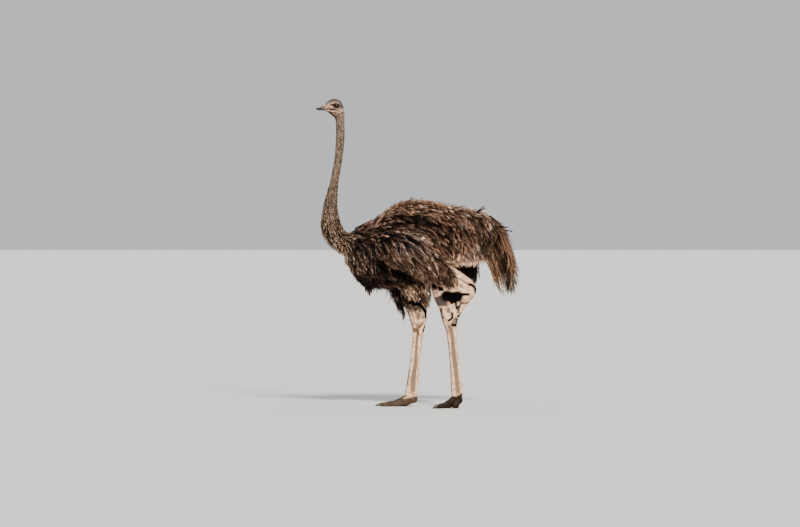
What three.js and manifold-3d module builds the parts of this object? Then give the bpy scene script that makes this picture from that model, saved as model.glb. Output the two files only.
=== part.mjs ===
// A life-size standing ostrich hen, still, as a museum model.
// Millimetres, +Z up. The bird looks along -X, its left side faces -Y, and the soles lie on Z = 0.
// The outer faces are the tips of the coat: feathers on the trunk, wings and tail, bare hide on the legs.
import * as THREE from "three";
import { mergeVertices } from "three/addons/utils/BufferGeometryUtils.js";
import Module from "manifold-3d";

const wasm = await Module();
wasm.setup();

// ---------------------------------------------------------------- driving dimensions

const GAP = 0.3; // between neighbouring pieces
// facets round each kind of ring
const SIDES = { trunk: 20, neck: 14, head: 16, bill: 10, limb: 12, toe: 9, claw: 7, eye: 12, plume: 4 };
// half sizes of the long loose feathers, each about the size of a real one with its fluff
const PLUME = {
  rump: { halfWidth: 29, halfThick: 12 },
  breast: { halfWidth: 26, halfThick: 13 },
  croup: { halfWidth: 13, halfThick: 8 },
  wing: { halfWidth: 23, halfThick: 9 },
  flank: { halfWidth: 52, halfThick: 34 },
  tail: { halfWidth: 37, halfThick: 14 },
};

const EYE = { x: -501, y: 22, z: 1853, radius: 21 };
const ORBIT = { lengthwise: 27, across: 18.5, upright: 21, y: 25 }; // the swelling round each eye, half sizes
const LID_OPENING = { lengthwise: 19, upright: 12, depth: 11, y: 45 }; // half sizes
const GAPE = { from: -590, to: -519, z: 1829, height: 1.6, depth: 7 }; // the mouth's slit behind the bill
const EAR = { x: -467, y: 30, z: 1813, radius: 5.5 };
const NOSTRIL = { x: -600, z: 1842, length: 11, height: 2.6, tilt: 0.2 };

const UPWARD = new THREE.Vector3(0, 0.3, 1).normalize();
const LEFT = -1; // the sign of Y on the bird's left side
const RIGHT = 1;

// ---------------------------------------------------------------- shapes in general

// Catmull-Rom interpolation of the rows of a table, at a row number that may be a fraction.
function rowAt(table, t) {
  const last = table.length - 1;
  const i = Math.min(Math.floor(t), last - 1);
  const row = (n) => table[Math.max(0, Math.min(last, n))];
  const [a, b, c, d] = [row(i - 1), row(i), row(i + 1), row(i + 2)];
  const f = t - i;
  return b.map((_, k) => {
    const cubic = 3 * (b[k] - c[k]) + d[k] - a[k];
    const square = 2 * a[k] - 5 * b[k] + 4 * c[k] - d[k];
    return b[k] + 0.5 * f * (c[k] - a[k] + f * (square + f * cubic));
  });
}

// A superellipse's coordinate: power 1 is an ellipse, and less is squarer.
const bulge = (value, power) => Math.sign(value) * Math.abs(value) ** power;

// A closed skin over rings of equally many points, with a fan at each end.
function closedLoft(rings) {
  const sides = rings[0].length;
  const points = rings.flat();
  const faces = [];
  for (let r = 0; r + 1 < rings.length; r++) {
    for (let s = 0; s < sides; s++) {
      const next = (s + 1) % sides;
      const [a, b, c, d] = [r * sides + s, r * sides + next, (r + 1) * sides + s, (r + 1) * sides + next];
      faces.push(a, b, d, a, d, c);
    }
  }
  for (const [first, turn] of [[0, 1], [(rings.length - 1) * sides, 0]]) {
    const middle = new THREE.Vector3();
    for (let s = 0; s < sides; s++) middle.addScaledVector(points[first + s], 1 / sides);
    const hub = points.push(middle) - 1;
    for (let s = 0; s < sides; s++) {
      const [a, b] = [first + s, first + ((s + 1) % sides)];
      faces.push(hub, turn ? b : a, turn ? a : b);
    }
  }
  const geometry = new THREE.BufferGeometry().setFromPoints(points);
  geometry.setIndex(faces);
  return geometry;
}

function solidOf(geometry) {
  const merged = mergeVertices(geometry, 1e-3);
  const mesh = new wasm.Mesh({
    numProp: 3,
    vertProperties: merged.attributes.position.array,
    triVerts: new Uint32Array(merged.index.array),
  });
  const made = new wasm.Manifold(mesh);
  if (made.volume() > 0) return made;
  const turned = merged.index.array.slice();
  for (let i = 0; i < turned.length; i += 3) [turned[i + 1], turned[i + 2]] = [turned[i + 2], turned[i + 1]];
  return new wasm.Manifold(
    new wasm.Mesh({
      numProp: 3,
      vertProperties: merged.attributes.position.array,
      triVerts: new Uint32Array(turned),
    }),
  );
}

function geometryOf(solid) {
  const { numProp, vertProperties, triVerts } = solid.getMesh();
  const geometry = new THREE.BufferGeometry();
  const position = new Float32Array((vertProperties.length / numProp) * 3);
  for (let v = 0; v * 3 < position.length; v++) {
    position.set(vertProperties.subarray(v * numProp, v * numProp + 3), v * 3);
  }
  geometry.setAttribute("position", new THREE.BufferAttribute(position, 3));
  geometry.setIndex(new THREE.BufferAttribute(triVerts, 1));
  return geometry;
}

const joined = (solids) => solids.reduce((sum, solid) => sum.add(solid));
const without = (solid, ...others) => others.reduce((rest, other) => rest.subtract(other), solid);

function ellipsoid(at, halfX, halfY, halfZ, sides = SIDES.eye) {
  const ball = new THREE.SphereGeometry(1, sides, Math.round(sides * 0.6));
  ball.deleteAttribute("normal").deleteAttribute("uv");
  return solidOf(ball.scale(halfX, halfY, halfZ).translate(...at));
}

function box(sizeX, sizeY, sizeZ, x, y, z) {
  const block = new THREE.BoxGeometry(sizeX, sizeY, sizeZ).deleteAttribute("normal").deleteAttribute("uv");
  return solidOf(block.translate(x, y, z));
}

// A loft between a back line and a belly line in the plane Y = 0.
// Table rows are [back x, back z, belly x, belly z, half width].
function railLoft(table, { from = 0, to = table.length - 1, rings, sides, power = 0.9, egg = 0, grow = 0 }) {
  const made = [];
  for (let r = 0; r <= rings; r++) {
    const [backX, backZ, bellyX, bellyZ, halfWidth] = rowAt(table, from + ((to - from) * r) / rings);
    const middle = new THREE.Vector3((backX + bellyX) / 2, 0, (backZ + bellyZ) / 2);
    const up = new THREE.Vector3((backX - bellyX) / 2, 0, (backZ - bellyZ) / 2);
    const half = up.length();
    up.setLength(half + grow);
    const ring = [];
    for (let s = 0; s < sides; s++) {
      const angle = (2 * Math.PI * s) / sides;
      const point = middle.clone().addScaledVector(up, bulge(Math.cos(angle), power));
      const taper = 1 - egg * Math.cos(angle);
      point.y = (halfWidth + grow) * taper * bulge(Math.sin(angle), power);
      ring.push(point);
    }
    made.push(ring);
  }
  return closedLoft(made);
}

// A limb along a path near the plane of side. Table rows are [x, y, z, half depth, half width].
// Each ring is square to the path, with its width along side.
function limbLoft(table, { from = 0, to = table.length - 1, rings, sides, power = 0.95, side, grow = 0 }) {
  const across = side ?? new THREE.Vector3(0, 1, 0);
  const made = [];
  for (let r = 0; r <= rings; r++) {
    const t = from + ((to - from) * r) / rings;
    const [x, y, z, depth, width] = rowAt(table, t);
    const ahead = rowAt(table, Math.min(t + 0.05, table.length - 1));
    const behind = rowAt(table, Math.max(t - 0.05, 0));
    const along = new THREE.Vector3(...ahead).sub(new THREE.Vector3(...behind)).normalize();
    const deep = new THREE.Vector3().crossVectors(along, across).normalize();
    const wide = new THREE.Vector3().crossVectors(deep, along);
    const ring = [];
    for (let s = 0; s < sides; s++) {
      const angle = (2 * Math.PI * s) / sides;
      const point = new THREE.Vector3(x, y, z)
        .addScaledVector(deep, (depth + grow) * bulge(Math.cos(angle), power))
        .addScaledVector(wide, (width + grow) * bulge(Math.sin(angle), power));
      ring.push(point);
    }
    made.push(ring);
  }
  return closedLoft(made);
}

// One long feather: a blade along a path of points, with a ridge for the shaft, broad in the middle and thin at
// the tip. flat is the direction out of the blade's face.
function plume(path, { halfWidth, halfThick, flat, rings = 4 }) {
  const spread = [0.55, 0.9, 1, 0.85, 0.25]; // share of the width from root to tip
  const rows = path.map(([x, y, z]) => [x, y, z]);
  const made = [];
  for (let r = 0; r <= rings; r++) {
    const t = ((rows.length - 1) * r) / rings;
    const [x, y, z] = rowAt(rows, t);
    const ahead = rowAt(rows, Math.min(t + 0.05, rows.length - 1));
    const behind = rowAt(rows, Math.max(t - 0.05, 0));
    const along = new THREE.Vector3(...ahead).sub(new THREE.Vector3(...behind)).normalize();
    const across = new THREE.Vector3().crossVectors(flat, along).normalize();
    const out = new THREE.Vector3().crossVectors(along, across);
    const [share] = rowAt(spread.map((v) => [v]), ((spread.length - 1) * r) / rings);
    const ring = [];
    for (let s = 0; s < SIDES.plume; s++) {
      const angle = (2 * Math.PI * s) / SIDES.plume;
      ring.push(
        new THREE.Vector3(x, y, z)
          .addScaledVector(across, halfWidth * share * Math.cos(angle))
          .addScaledVector(out, halfThick * Math.max(share, 0.4) * Math.sin(angle)),
      );
    }
    made.push(ring);
  }
  return solidOf(closedLoft(made));
}

// ---------------------------------------------------------------- trunk, neck and head

// From the rump to the root of the neck, over the coat.
const TRUNK = [
  [472, 1120, 470, 1000, 52],
  [446, 1172, 450, 930, 116],
  [398, 1206, 412, 910, 160],
  [322, 1221, 338, 892, 193],
  [220, 1244, 235, 872, 217],
  [110, 1266, 120, 792, 232],
  [0, 1279, 0, 758, 237],
  [-100, 1270, -110, 732, 234],
  [-190, 1224, -225, 716, 221],
  [-268, 1162, -325, 728, 198],
  [-330, 1124, -390, 786, 168],
  [-378, 1100, -430, 862, 134],
  [-413, 1080, -450, 924, 99],
];

// From the root of the neck to the base of the skull: an S that bows forward low down.
const NECK = [
  [-413, 1080, -450, 924, 99],
  [-437, 1083, -500, 956, 82],
  [-457, 1098, -551, 1002, 68],
  [-471, 1121, -584, 1054, 58],
  [-480, 1149, -597, 1112, 51],
  [-487, 1182, -596, 1162, 46],
  [-494, 1227, -588, 1218, 41],
  [-495, 1281, -573, 1278, 35.5],
  [-494, 1337, -556, 1335, 29.5],
  [-490, 1387, -542, 1381, 26.5],
  [-479, 1448, -528, 1441, 25],
  [-469, 1509, -517, 1503, 24.5],
  [-461, 1571, -509, 1566, 24.5],
  [-454, 1640, -505, 1636, 25],
  [-452, 1700, -503, 1698, 25.5],
  [-453, 1756, -505, 1750, 26.5],
  [-454, 1797, -509, 1772, 28.5],
];
const NECK_PARTING = 7; // the row where the feathered base ends and the downy part begins

// From the nape over the crown to the base of the bill.
const HEAD = [
  [-454, 1797, -509, 1772, 28.5],
  [-457, 1830, -516, 1785, 33],
  [-464, 1859, -526, 1793, 36.5],
  [-478, 1882, -536, 1801, 38.5],
  [-499, 1894, -547, 1809, 38.5],
  [-523, 1895, -557, 1815, 35],
  [-545, 1887, -567, 1820, 30.5],
  [-564, 1873, -577, 1824, 26.5],
  [-580, 1861, -588, 1827, 23],
];

const trunkLoft = (grow = 0) =>
  solidOf(railLoft(TRUNK, { rings: 16, sides: SIDES.trunk, power: 0.86, egg: 0.07, grow }));

// The long loose feathers of the rump hang over the flank in a ragged hem, longer on the right side.
const RUMP_HEM = {
  [LEFT]: { first: [215, 925], last: [418, 965], reach: 44, count: 6 },
  [RIGHT]: { first: [262, 925], last: [358, 962], reach: 150, count: 4 },
};

function rumpPlumes(side) {
  const { first, last, reach, count } = RUMP_HEM[side];
  const plumes = [];
  for (let i = 0; i < count; i++) {
    const t = i / (count - 1);
    const x = THREE.MathUtils.lerp(first[0], last[0], t);
    const z = THREE.MathUtils.lerp(first[1], last[1], t);
    const y = side * THREE.MathUtils.lerp(205, 130, t ** 1.6);
    const path = [
      [x - 6, y, z + 40],
      [x, y + side * 2, z - 20],
      [x + 8, y - side * 12, z - reach - 16 * (i % 2)],
    ];
    plumes.push(plume(path, { ...PLUME.rump, flat: new THREE.Vector3(0.25, side, 0).normalize() }));
  }
  return plumes;
}

// A fringe hangs below the breast.
function breastFringe() {
  const plumes = [];
  for (const [x, y, drop] of [[-332, -56, 24], [-300, -100, 34], [-290, 14, 36], [-316, 84, 26]]) {
    const path = [
      [x - 8, y, 775],
      [x, y, 730],
      [x + 12, y, 722 - drop],
    ];
    plumes.push(plume(path, { ...PLUME.breast, flat: new THREE.Vector3(-0.6, y / 160, -0.4).normalize() }));
  }
  return plumes;
}

// Two stray feathers stand up from the croup.
function croupTuft() {
  const paths = [
    [[318, -26, 1202], [352, -30, 1222], [392, -34, 1244]],
    [[338, -60, 1196], [366, -66, 1214], [402, -72, 1228]],
  ];
  return paths.map((path) => plume(path, { ...PLUME.croup, flat: UPWARD }));
}

const trunkPlumes = [...rumpPlumes(LEFT), ...rumpPlumes(RIGHT), ...breastFringe(), ...croupTuft()];
const trunk = joined([trunkLoft(), ...trunkPlumes]);

const partingShare = GAP / 60; // rows are about 60 mm apart along the neck
const neckBase = solidOf(
  railLoft(NECK, { from: partingShare * 2, to: NECK_PARTING - partingShare, rings: 10, sides: SIDES.neck }),
);
const neckShaft = solidOf(
  railLoft(NECK, { from: NECK_PARTING, to: NECK.length - 1 - partingShare, rings: 14, sides: SIDES.neck }),
);

const lidOpening = (side) => {
  const { lengthwise, depth, upright, y } = LID_OPENING;
  return ellipsoid([EYE.x, side * y, EYE.z], lengthwise, depth, upright);
};
const eyeball = (side, grow = 0) =>
  ellipsoid([EYE.x, side * EYE.y, EYE.z], EYE.radius + grow, EYE.radius + grow, EYE.radius + grow);

// The skull with its eye sockets, half-closed lids, ears and the corners of the mouth.
const SKULL = { sides: SIDES.head, power: 0.92, egg: 0.06 };

function makeHead() {
  const skull = solidOf(railLoft(HEAD, { ...SKULL, from: partingShare, rings: 10 }));
  const orbits = [LEFT, RIGHT].map((side) =>
    ellipsoid([EYE.x - 2, side * ORBIT.y, EYE.z], ORBIT.lengthwise, ORBIT.across, ORBIT.upright),
  );
  const hollows = [LEFT, RIGHT].flatMap((side) => [
    eyeball(side, GAP),
    lidOpening(side),
    ellipsoid([EAR.x, side * EAR.y, EAR.z], EAR.radius * 0.7, EAR.radius, EAR.radius, 7),
    box(GAPE.to - GAPE.from, 40, GAPE.height, (GAPE.from + GAPE.to) / 2, side * (54 - GAPE.depth), GAPE.z),
  ]);
  return without(joined([skull, ...orbits]), ...hollows);
}
const head = makeHead();

// The bill is broad and flat, with a rounded nail at the tip.
// Rows are [back x, back z, belly x, belly z, half width].
const BILL_UPPER = [
  [-576, 1864, -576, 1832.6, 25],
  [-588, 1857, -588, 1832.4, 23.5],
  [-602, 1849, -602, 1832.2, 21],
  [-614, 1845, -614, 1832, 17.5],
  [-623, 1840.5, -623, 1831.4, 12.5],
  [-628, 1835.5, -628, 1831, 7],
];
const BILL_LOWER = [
  [-578, 1831.6, -578, 1820, 23],
  [-592, 1831.4, -592, 1823, 20.5],
  [-606, 1831.2, -606, 1825, 17],
  [-617, 1831, -617, 1826.6, 13],
  [-624, 1830.6, -624, 1828, 8],
];
const billPlug = box(6, 60, 50, -581.5, 0, 1845).intersect(
  solidOf(railLoft(HEAD, { from: 6, rings: 3, sides: SIDES.head })),
);
const skullCut = solidOf(railLoft(HEAD, { ...SKULL, from: 4, rings: 6, grow: GAP })).add(billPlug);
const billOptions = { rings: 7, sides: SIDES.bill, power: 0.8 };
const nostrils = [LEFT, RIGHT].map((side) => {
  const slit = box(NOSTRIL.length, 8, NOSTRIL.height, 0, 0, 0).rotate([0, (NOSTRIL.tilt * 180) / Math.PI, 0]);
  return slit.translate([NOSTRIL.x, side * 19, NOSTRIL.z]);
});
const billUpper = without(solidOf(railLoft(BILL_UPPER, billOptions)), skullCut, ...nostrils);
const billLower = without(solidOf(railLoft(BILL_LOWER, billOptions)), skullCut);

// ---------------------------------------------------------------- legs and feet

// Slices of each leg from inside the flank down to the toe joint: [height, front x, back x, y, half width].
// The left leg carries the bird from further back.
const LEG_LEFT = [
  [930, -34, 150, -120, 70],
  [868, 4, 208, -128, 76],
  [813, 44, 288, -131, 77],
  [770, 70, 338, -131, 73],
  [724, 82, 357, -131, 68],
  [680, 92, 341, -130, 61],
  [641, 111, 307, -129, 53],
  [604, 129, 282, -128, 47],
  [567, 139, 256, -127, 44],
  [530, 147, 241, -126, 41],
  [502, 160, 237, -126, 36],
  [474, 171, 234, -125, 30],
  [382, 184, 236, -123, 24],
  [290, 193, 249, -121, 22.5],
  [197, 198, 260, -119, 24],
  [135, 200, 268, -118, 29],
  [92, 201, 272, -117, 33],
  [60, 206, 268, -117, 31],
];

// The right leg is half a step ahead, with its thigh drawn forward.
const LEG_RIGHT = [
  [930, -200, 10, 118, 74],
  [868, -200, 36, 124, 76],
  [813, -186, 50, 127, 73],
  [770, -176, 62, 127, 69],
  [724, -156, 70, 127, 65],
  [680, -124, 73, 126, 59],
  [641, -100, 70, 125, 52],
  [604, -79, 57, 124, 47],
  [567, -60, 54, 124, 44],
  [527, -48, 52, 124, 42],
  [500, -40, 46, 124, 36],
  [462, -33, 35, 123, 30],
  [382, -37, 20, 122, 24],
  [290, -48, 10, 121, 23],
  [197, -61, 5, 120, 24.5],
  [135, -70, 2, 119, 29],
  [92, -80, -3, 119, 34],
  [60, -77, -11, 119, 32],
];
const ANKLE = 486; // height of the parting between drumstick and shank

// A limb from the table of its slices, from the height of one to the height of another.
function slicedLimb(table, { top = table[0][0], bottom = table.at(-1)[0], rings, sides, grow = 0 }) {
  const made = [];
  for (let r = 0; r <= rings; r++) {
    const z = THREE.MathUtils.lerp(top, bottom, r / rings);
    let i = 0;
    while (i + 2 < table.length && table[i + 1][0] > z) i += 1;
    const t = i + (table[i][0] - z) / (table[i][0] - table[i + 1][0]);
    const [, front, back, y, halfWidth] = rowAt(table, t);
    const ring = [];
    for (let s = 0; s < sides; s++) {
      const angle = (2 * Math.PI * s) / sides;
      const x = (front + back) / 2 + ((back - front) / 2 + grow) * bulge(Math.cos(angle), 0.94);
      ring.push(new THREE.Vector3(x, y + (halfWidth + grow) * bulge(Math.sin(angle), 0.94), z));
    }
    made.push(ring);
  }
  return solidOf(closedLoft(made));
}

const drumstick = (table, grow = 0) =>
  slicedLimb(table, { bottom: ANKLE + GAP - grow, rings: 11, sides: SIDES.limb, grow });
const shank = (table, grow = 0) => slicedLimb(table, { top: ANKLE, rings: 9, sides: SIDES.limb, grow });

// Toes run out from the joint under the shank: [distance, height of centre, half height, half width].
const INNER_TOE = [
  [-24, 50, 28, 25],
  [0, 50, 33, 31],
  [32, 42, 31, 30],
  [60, 31, 26, 26],
  [84, 22, 24, 28],
  [110, 16, 19, 25],
  [134, 14, 18, 27],
  [162, 11, 14, 24],
  [184, 8.5, 11, 18],
  [194, 8, 6, 8],
];
const OUTER_TOE = [
  [-10, 44, 24, 22],
  [20, 34, 25, 22],
  [55, 19, 22, 20],
  [88, 12.5, 16, 17],
  [112, 9, 11, 12],
  [120, 8, 5, 6],
];
const CLAW = [
  [176, 15, 8, 11],
  [192, 13.5, 8.5, 10],
  [206, 9.5, 7, 7.5],
  [217, 6, 4.5, 4.5],
  [222, 4.4, 1.6, 1.6],
];
const SOLE_CLEARANCE = 200; // more than any toe reaches below the floor

const heading = (degrees) => {
  const turn = THREE.MathUtils.degToRad(degrees);
  return new THREE.Vector3(-Math.cos(turn), Math.sin(turn), 0);
};

// direction points along the toe. The part under the floor is taken off, which leaves a flat sole.
function toe(table, joint, direction, { rings = 9, sides = SIDES.toe, grow = 0 } = {}) {
  const rows = table.map(([distance, height, halfHeight, halfWidth]) => [
    joint.x + direction.x * distance,
    joint.y + direction.y * distance,
    height,
    halfHeight,
    halfWidth,
  ]);
  const side = new THREE.Vector3(-direction.y, direction.x, 0);
  const whole = solidOf(limbLoft(rows, { rings, sides, side, grow }));
  return whole.subtract(box(900, 900, SOLE_CLEARANCE, joint.x, joint.y, -SOLE_CLEARANCE / 2));
}

const FEET = {
  left: { joint: { x: 238, y: -117 }, inner: heading(-47), outer: heading(-82), leg: LEG_LEFT },
  right: { joint: { x: -43, y: 119 }, inner: heading(4), outer: heading(40), leg: LEG_RIGHT },
};

function makeFoot({ joint, inner, outer, leg }) {
  const bone = shank(leg, GAP);
  const innerToe = without(toe(INNER_TOE, joint, inner), bone);
  const outerToe = without(toe(OUTER_TOE, joint, outer), bone, toe(INNER_TOE, joint, inner, { grow: GAP }));
  const nail = toe(CLAW, joint, inner, { rings: 5, sides: SIDES.claw });
  const claw = without(nail, toe(INNER_TOE, joint, inner, { grow: GAP }));
  const largest = (solid) => solid.decompose().sort((a, b) => b.volume() - a.volume())[0];
  return { innerToe: largest(innerToe), outerToe: largest(outerToe), claw: largest(claw) };
}

// ---------------------------------------------------------------- wings, flank plumes and tail

// The folded wing lies on the flank: [x, distance from the middle plane, z, half height, half thickness].
const WING = [
  [-262, 142, 992, 22, 16],
  [-240, 164, 990, 66, 38],
  [-199, 188, 986, 100, 52],
  [-126, 210, 969, 119, 58],
  [-46, 221, 942, 120, 60],
  [30, 225, 898, 110, 60],
  [100, 223, 852, 96, 54],
  [156, 217, 802, 70, 42],
  [200, 208, 748, 30, 20],
];

function wingPlumes(side) {
  const plumes = [];
  const count = 8;
  for (let i = 0; i < count; i++) {
    const t = i / (count - 1);
    const [x, y, z, halfHeight] = rowAt(WING, 3.2 + 4 * t);
    const out = side * (y + 26 - 14 * t);
    const low = z - halfHeight * 0.62;
    const path = [
      [x - 30, out, low + 50],
      [x + 14, out, low - 6],
      [x + 42 - 16 * t, out - side * 8, low - 58 + 12 * (i % 2)],
    ];
    plumes.push(plume(path, { ...PLUME.wing, flat: new THREE.Vector3(0, side, 0) }));
  }
  return plumes;
}

function makeWing(side) {
  const rows = WING.map(([x, y, z, halfHeight, halfThick]) => [x, side * y, z, halfHeight, halfThick]);
  return joined([solidOf(limbLoft(rows, { rings: 10, sides: SIDES.limb })), ...wingPlumes(side)]);
}

// Feathers of the belly hang down the front of each thigh to a ragged point.
// Tips are [x, distance from the middle plane, z].
const FLANK_TIPS = {
  left: [[70, 128, 655], [98, 150, 684], [42, 108, 690]],
  right: [[-88, 128, 550], [-124, 146, 612], [-60, 100, 640], [-36, 160, 652], [-142, 108, 664]],
};

function makeFlank(side, tips) {
  const rootZ = 800;
  return joined(
    tips.map(([x, y, z]) => {
      const rootX = x * 0.9 - 25;
      const path = [
        [rootX, side * y, rootZ],
        [THREE.MathUtils.lerp(rootX, x, 0.3) - 6, side * y, THREE.MathUtils.lerp(rootZ, z, 0.5)],
        [x, side * (y - 6), z],
      ];
      return plume(path, { ...PLUME.flank, flat: new THREE.Vector3(-0.8, side * 0.6, 0).normalize() });
    }),
  );
}

// The tail droops from the rump in two layers of plumes, with a core that holds them together.
const TAIL_CORE = [
  [430, 0, 1120, 62, 96],
  [478, 0, 1066, 66, 100],
  [508, 0, 990, 66, 98],
  [532, 0, 900, 62, 90],
  [552, 0, 820, 46, 72],
  [562, 0, 762, 20, 40],
];
const TAIL_LAYERS = [
  { count: 5, spread: 86, top: [438, 1190], bend: [548, 1024], low: [608, 862], tip: [604, 736], ragged: 30 },
  { count: 4, spread: 98, top: [430, 1110], bend: [498, 990], low: [548, 850], tip: [566, 704], ragged: 34 },
  { count: 4, spread: 84, top: [412, 1030], bend: [448, 930], low: [474, 830], tip: [526, 706], ragged: 42 },
];

function makeTail() {
  const plumes = [];
  for (const { count, spread, top, bend, low, tip, ragged } of TAIL_LAYERS) {
    for (let i = 0; i < count; i++) {
      const t = (2 * i) / (count - 1) - 1;
      const inward = 1 - 0.12 * t * t;
      const path = [
        [top[0] - 8, spread * 0.6 * t, top[1] - 20 * t * t],
        [bend[0] * inward, spread * 0.95 * t, bend[1] - 24 * t * t],
        [low[0] * inward, spread * t, low[1] - 10 * t * t],
        [tip[0] * inward, spread * 0.9 * t, tip[1] + ragged * (i % 2) + 20 * t * t],
      ];
      plumes.push(plume(path, { ...PLUME.tail, flat: new THREE.Vector3(0.9, 0.35 * t, 0.3) }));
    }
  }
  const strays = [
    plume([[440, 18, 1128], [508, 24, 1096], [576, 30, 1078]], { ...PLUME.croup, flat: UPWARD }),
    plume([[452, -30, 1130], [500, -34, 1108], [548, -36, 1100]], { ...PLUME.croup, flat: UPWARD }),
  ];
  const core = solidOf(limbLoft(TAIL_CORE, { rings: 7, sides: SIDES.limb }));
  return joined([core, ...plumes, ...strays]);
}

// ---------------------------------------------------------------- the whole bird

const FINISH = {
  plumage: { color: 0x5b4a3c, roughness: 0.95 },
  down: { color: 0x8a7763, roughness: 0.95 },
  face: { color: 0xa98f7c, roughness: 0.75 },
  horn: { color: 0x5e5853, roughness: 0.5 },
  eye: { color: 0x1c0f0a, roughness: 0.08 },
  hide: { color: 0xc9b3a0, roughness: 0.7 },
  scales: { color: 0xa8937f, roughness: 0.65 },
  sole: { color: 0x4a3a2d, roughness: 0.75 },
};

const bird = new THREE.Group();

function add(name, solid, finish) {
  const pieces = solid.decompose().sort((a, b) => b.volume() - a.volume());
  const material = new THREE.MeshStandardMaterial({ metalness: 0, ...FINISH[finish] });
  const mesh = new THREE.Mesh(geometryOf(pieces[0]), material);
  mesh.name = name;
  bird.add(mesh);
}

const trunkCut = trunkLoft(GAP).add(joined(trunkPlumes));

add("trunk", trunk, "plumage");
add("neck_base", neckBase, "plumage");
add("neck_shaft", neckShaft, "down");
add("head", head, "face");
add("bill_upper", billUpper, "horn");
add("bill_lower", billLower, "horn");
add("tail", without(makeTail(), trunkCut), "plumage");

for (const [name, side] of [["left", LEFT], ["right", RIGHT]]) {
  const foot = FEET[name];
  const { innerToe, outerToe, claw } = makeFoot(foot);
  const upper = without(drumstick(foot.leg), trunkCut);
  const flank = without(makeFlank(side, FLANK_TIPS[name]), trunkCut, drumstick(foot.leg, GAP));
  const wing = without(makeWing(side), trunkCut, drumstick(foot.leg, GAP), makeFlank(side, FLANK_TIPS[name]));
  add(`eye_${name}`, eyeball(side), "eye");
  add(`wing_${name}`, wing, "plumage");
  add(`flank_${name}`, flank, "plumage");
  add(`drumstick_${name}`, upper, "hide");
  add(`shank_${name}`, shank(foot.leg), "scales");
  add(`toe_inner_${name}`, innerToe, "sole");
  add(`toe_outer_${name}`, outerToe, "sole");
  add(`claw_${name}`, claw, "horn");
}

export default bird;
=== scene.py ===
import math
from functools import partial

import bpy
import numpy as np
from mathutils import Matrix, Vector
from mathutils.bvhtree import BVHTree


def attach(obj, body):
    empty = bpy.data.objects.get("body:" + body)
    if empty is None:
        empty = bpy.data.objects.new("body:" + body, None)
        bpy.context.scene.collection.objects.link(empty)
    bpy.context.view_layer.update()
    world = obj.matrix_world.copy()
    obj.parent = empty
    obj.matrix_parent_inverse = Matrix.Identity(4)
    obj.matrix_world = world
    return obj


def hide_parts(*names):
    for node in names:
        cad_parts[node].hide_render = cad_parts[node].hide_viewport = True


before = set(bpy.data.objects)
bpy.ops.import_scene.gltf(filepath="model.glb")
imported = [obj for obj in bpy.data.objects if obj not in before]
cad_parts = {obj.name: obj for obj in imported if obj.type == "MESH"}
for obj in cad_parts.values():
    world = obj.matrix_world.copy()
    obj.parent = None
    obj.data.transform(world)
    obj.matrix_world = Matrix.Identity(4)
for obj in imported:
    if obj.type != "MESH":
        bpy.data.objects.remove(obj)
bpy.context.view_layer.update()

# -------------------------------------------------------------- the room
# A plain pale floor with nothing behind it, one soft lamp like a high sun, and even light from all round.
# The camera is a long lens thirty metres off, at the height of the bird's breast, square to its left side.
FLOOR_RADIUS = 400.0
FLOOR_COLOUR = (0.80, 0.79, 0.77, 1)
SKY_COLOUR = (0.90, 0.92, 0.95, 1)
SKY_STRENGTH = 0.72
SUN_STRENGTH = 6.4
SUN_SOFTNESS = math.radians(9)
SUN_COLOUR = (1.0, 0.95, 0.89)
SUN_HEADING = Vector((-0.16, 0.88, -0.44))
CAMERA_PLACE = Vector((-0.111, -30.0, 1.04))
CAMERA_AIM = Vector((-0.111, 0.0, 0.884))
CAMERA_LENS = 219.5
CAMERA_REACH = 1000


def placed(name, data):
    """A new object of the scene that shows a mesh, a lamp or a camera."""
    item = bpy.data.objects.new(name, data)
    bpy.context.scene.collection.objects.link(item)
    return item


bpy.ops.mesh.primitive_circle_add(vertices=96, radius=FLOOR_RADIUS, fill_type="NGON")
floor = bpy.context.object
floor.name = "floor"
floor_finish = bpy.data.materials.new("floor")
floor_finish.use_nodes = True
floor_shader = floor_finish.node_tree.nodes["Principled BSDF"]
floor_shader.inputs["Base Color"].default_value = FLOOR_COLOUR
floor_shader.inputs["Roughness"].default_value = 0.9
floor.data.materials.append(floor_finish)

world = bpy.data.worlds.new("studio")
bpy.context.scene.world = world
world.use_nodes = True
sky = world.node_tree.nodes["Background"]
sky.inputs["Color"].default_value = SKY_COLOUR
sky.inputs["Strength"].default_value = SKY_STRENGTH

sun = placed("sun", bpy.data.lights.new("sun", "SUN"))
sun.data.energy = SUN_STRENGTH
sun.data.color = SUN_COLOUR
sun.data.angle = SUN_SOFTNESS
sun.rotation_euler = SUN_HEADING.to_track_quat("-Z", "Y").to_euler()

camera = placed("camera", bpy.data.cameras.new("camera"))
camera.data.lens = CAMERA_LENS
camera.data.clip_end = CAMERA_REACH
camera.location = CAMERA_PLACE
camera.rotation_euler = (CAMERA_AIM - CAMERA_PLACE).to_track_quat("-Z", "Y").to_euler()
bpy.context.scene.camera = camera

# -------------------------------------------------------------- the skin
# The bird's own hide, one closed surface from the bill's root over neck, trunk and wing arms to the toes.
# Each length of the body is a stack of rings, and the stacks are grown together where they meet.
MM = 0.001
LEFT, RIGHT = -1, 1


def spline(table, rows):
    """The rows of a table, read at row numbers that may be fractions, with a smooth curve between them."""
    table = np.asarray(table, float)
    rows = np.asarray(rows, float)
    last = len(table) - 1
    start = np.clip(np.floor(rows).astype(int), 0, last - 1)
    share = (rows - start)[..., None]
    a, b, c, d = (table[np.clip(start + step, 0, last)] for step in (-1, 0, 1, 2))
    rise = share * (3 * (b - c) + d - a)
    return b + 0.5 * share * (c - a + share * (2 * a - 5 * b + 4 * c - d + rise))


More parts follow.
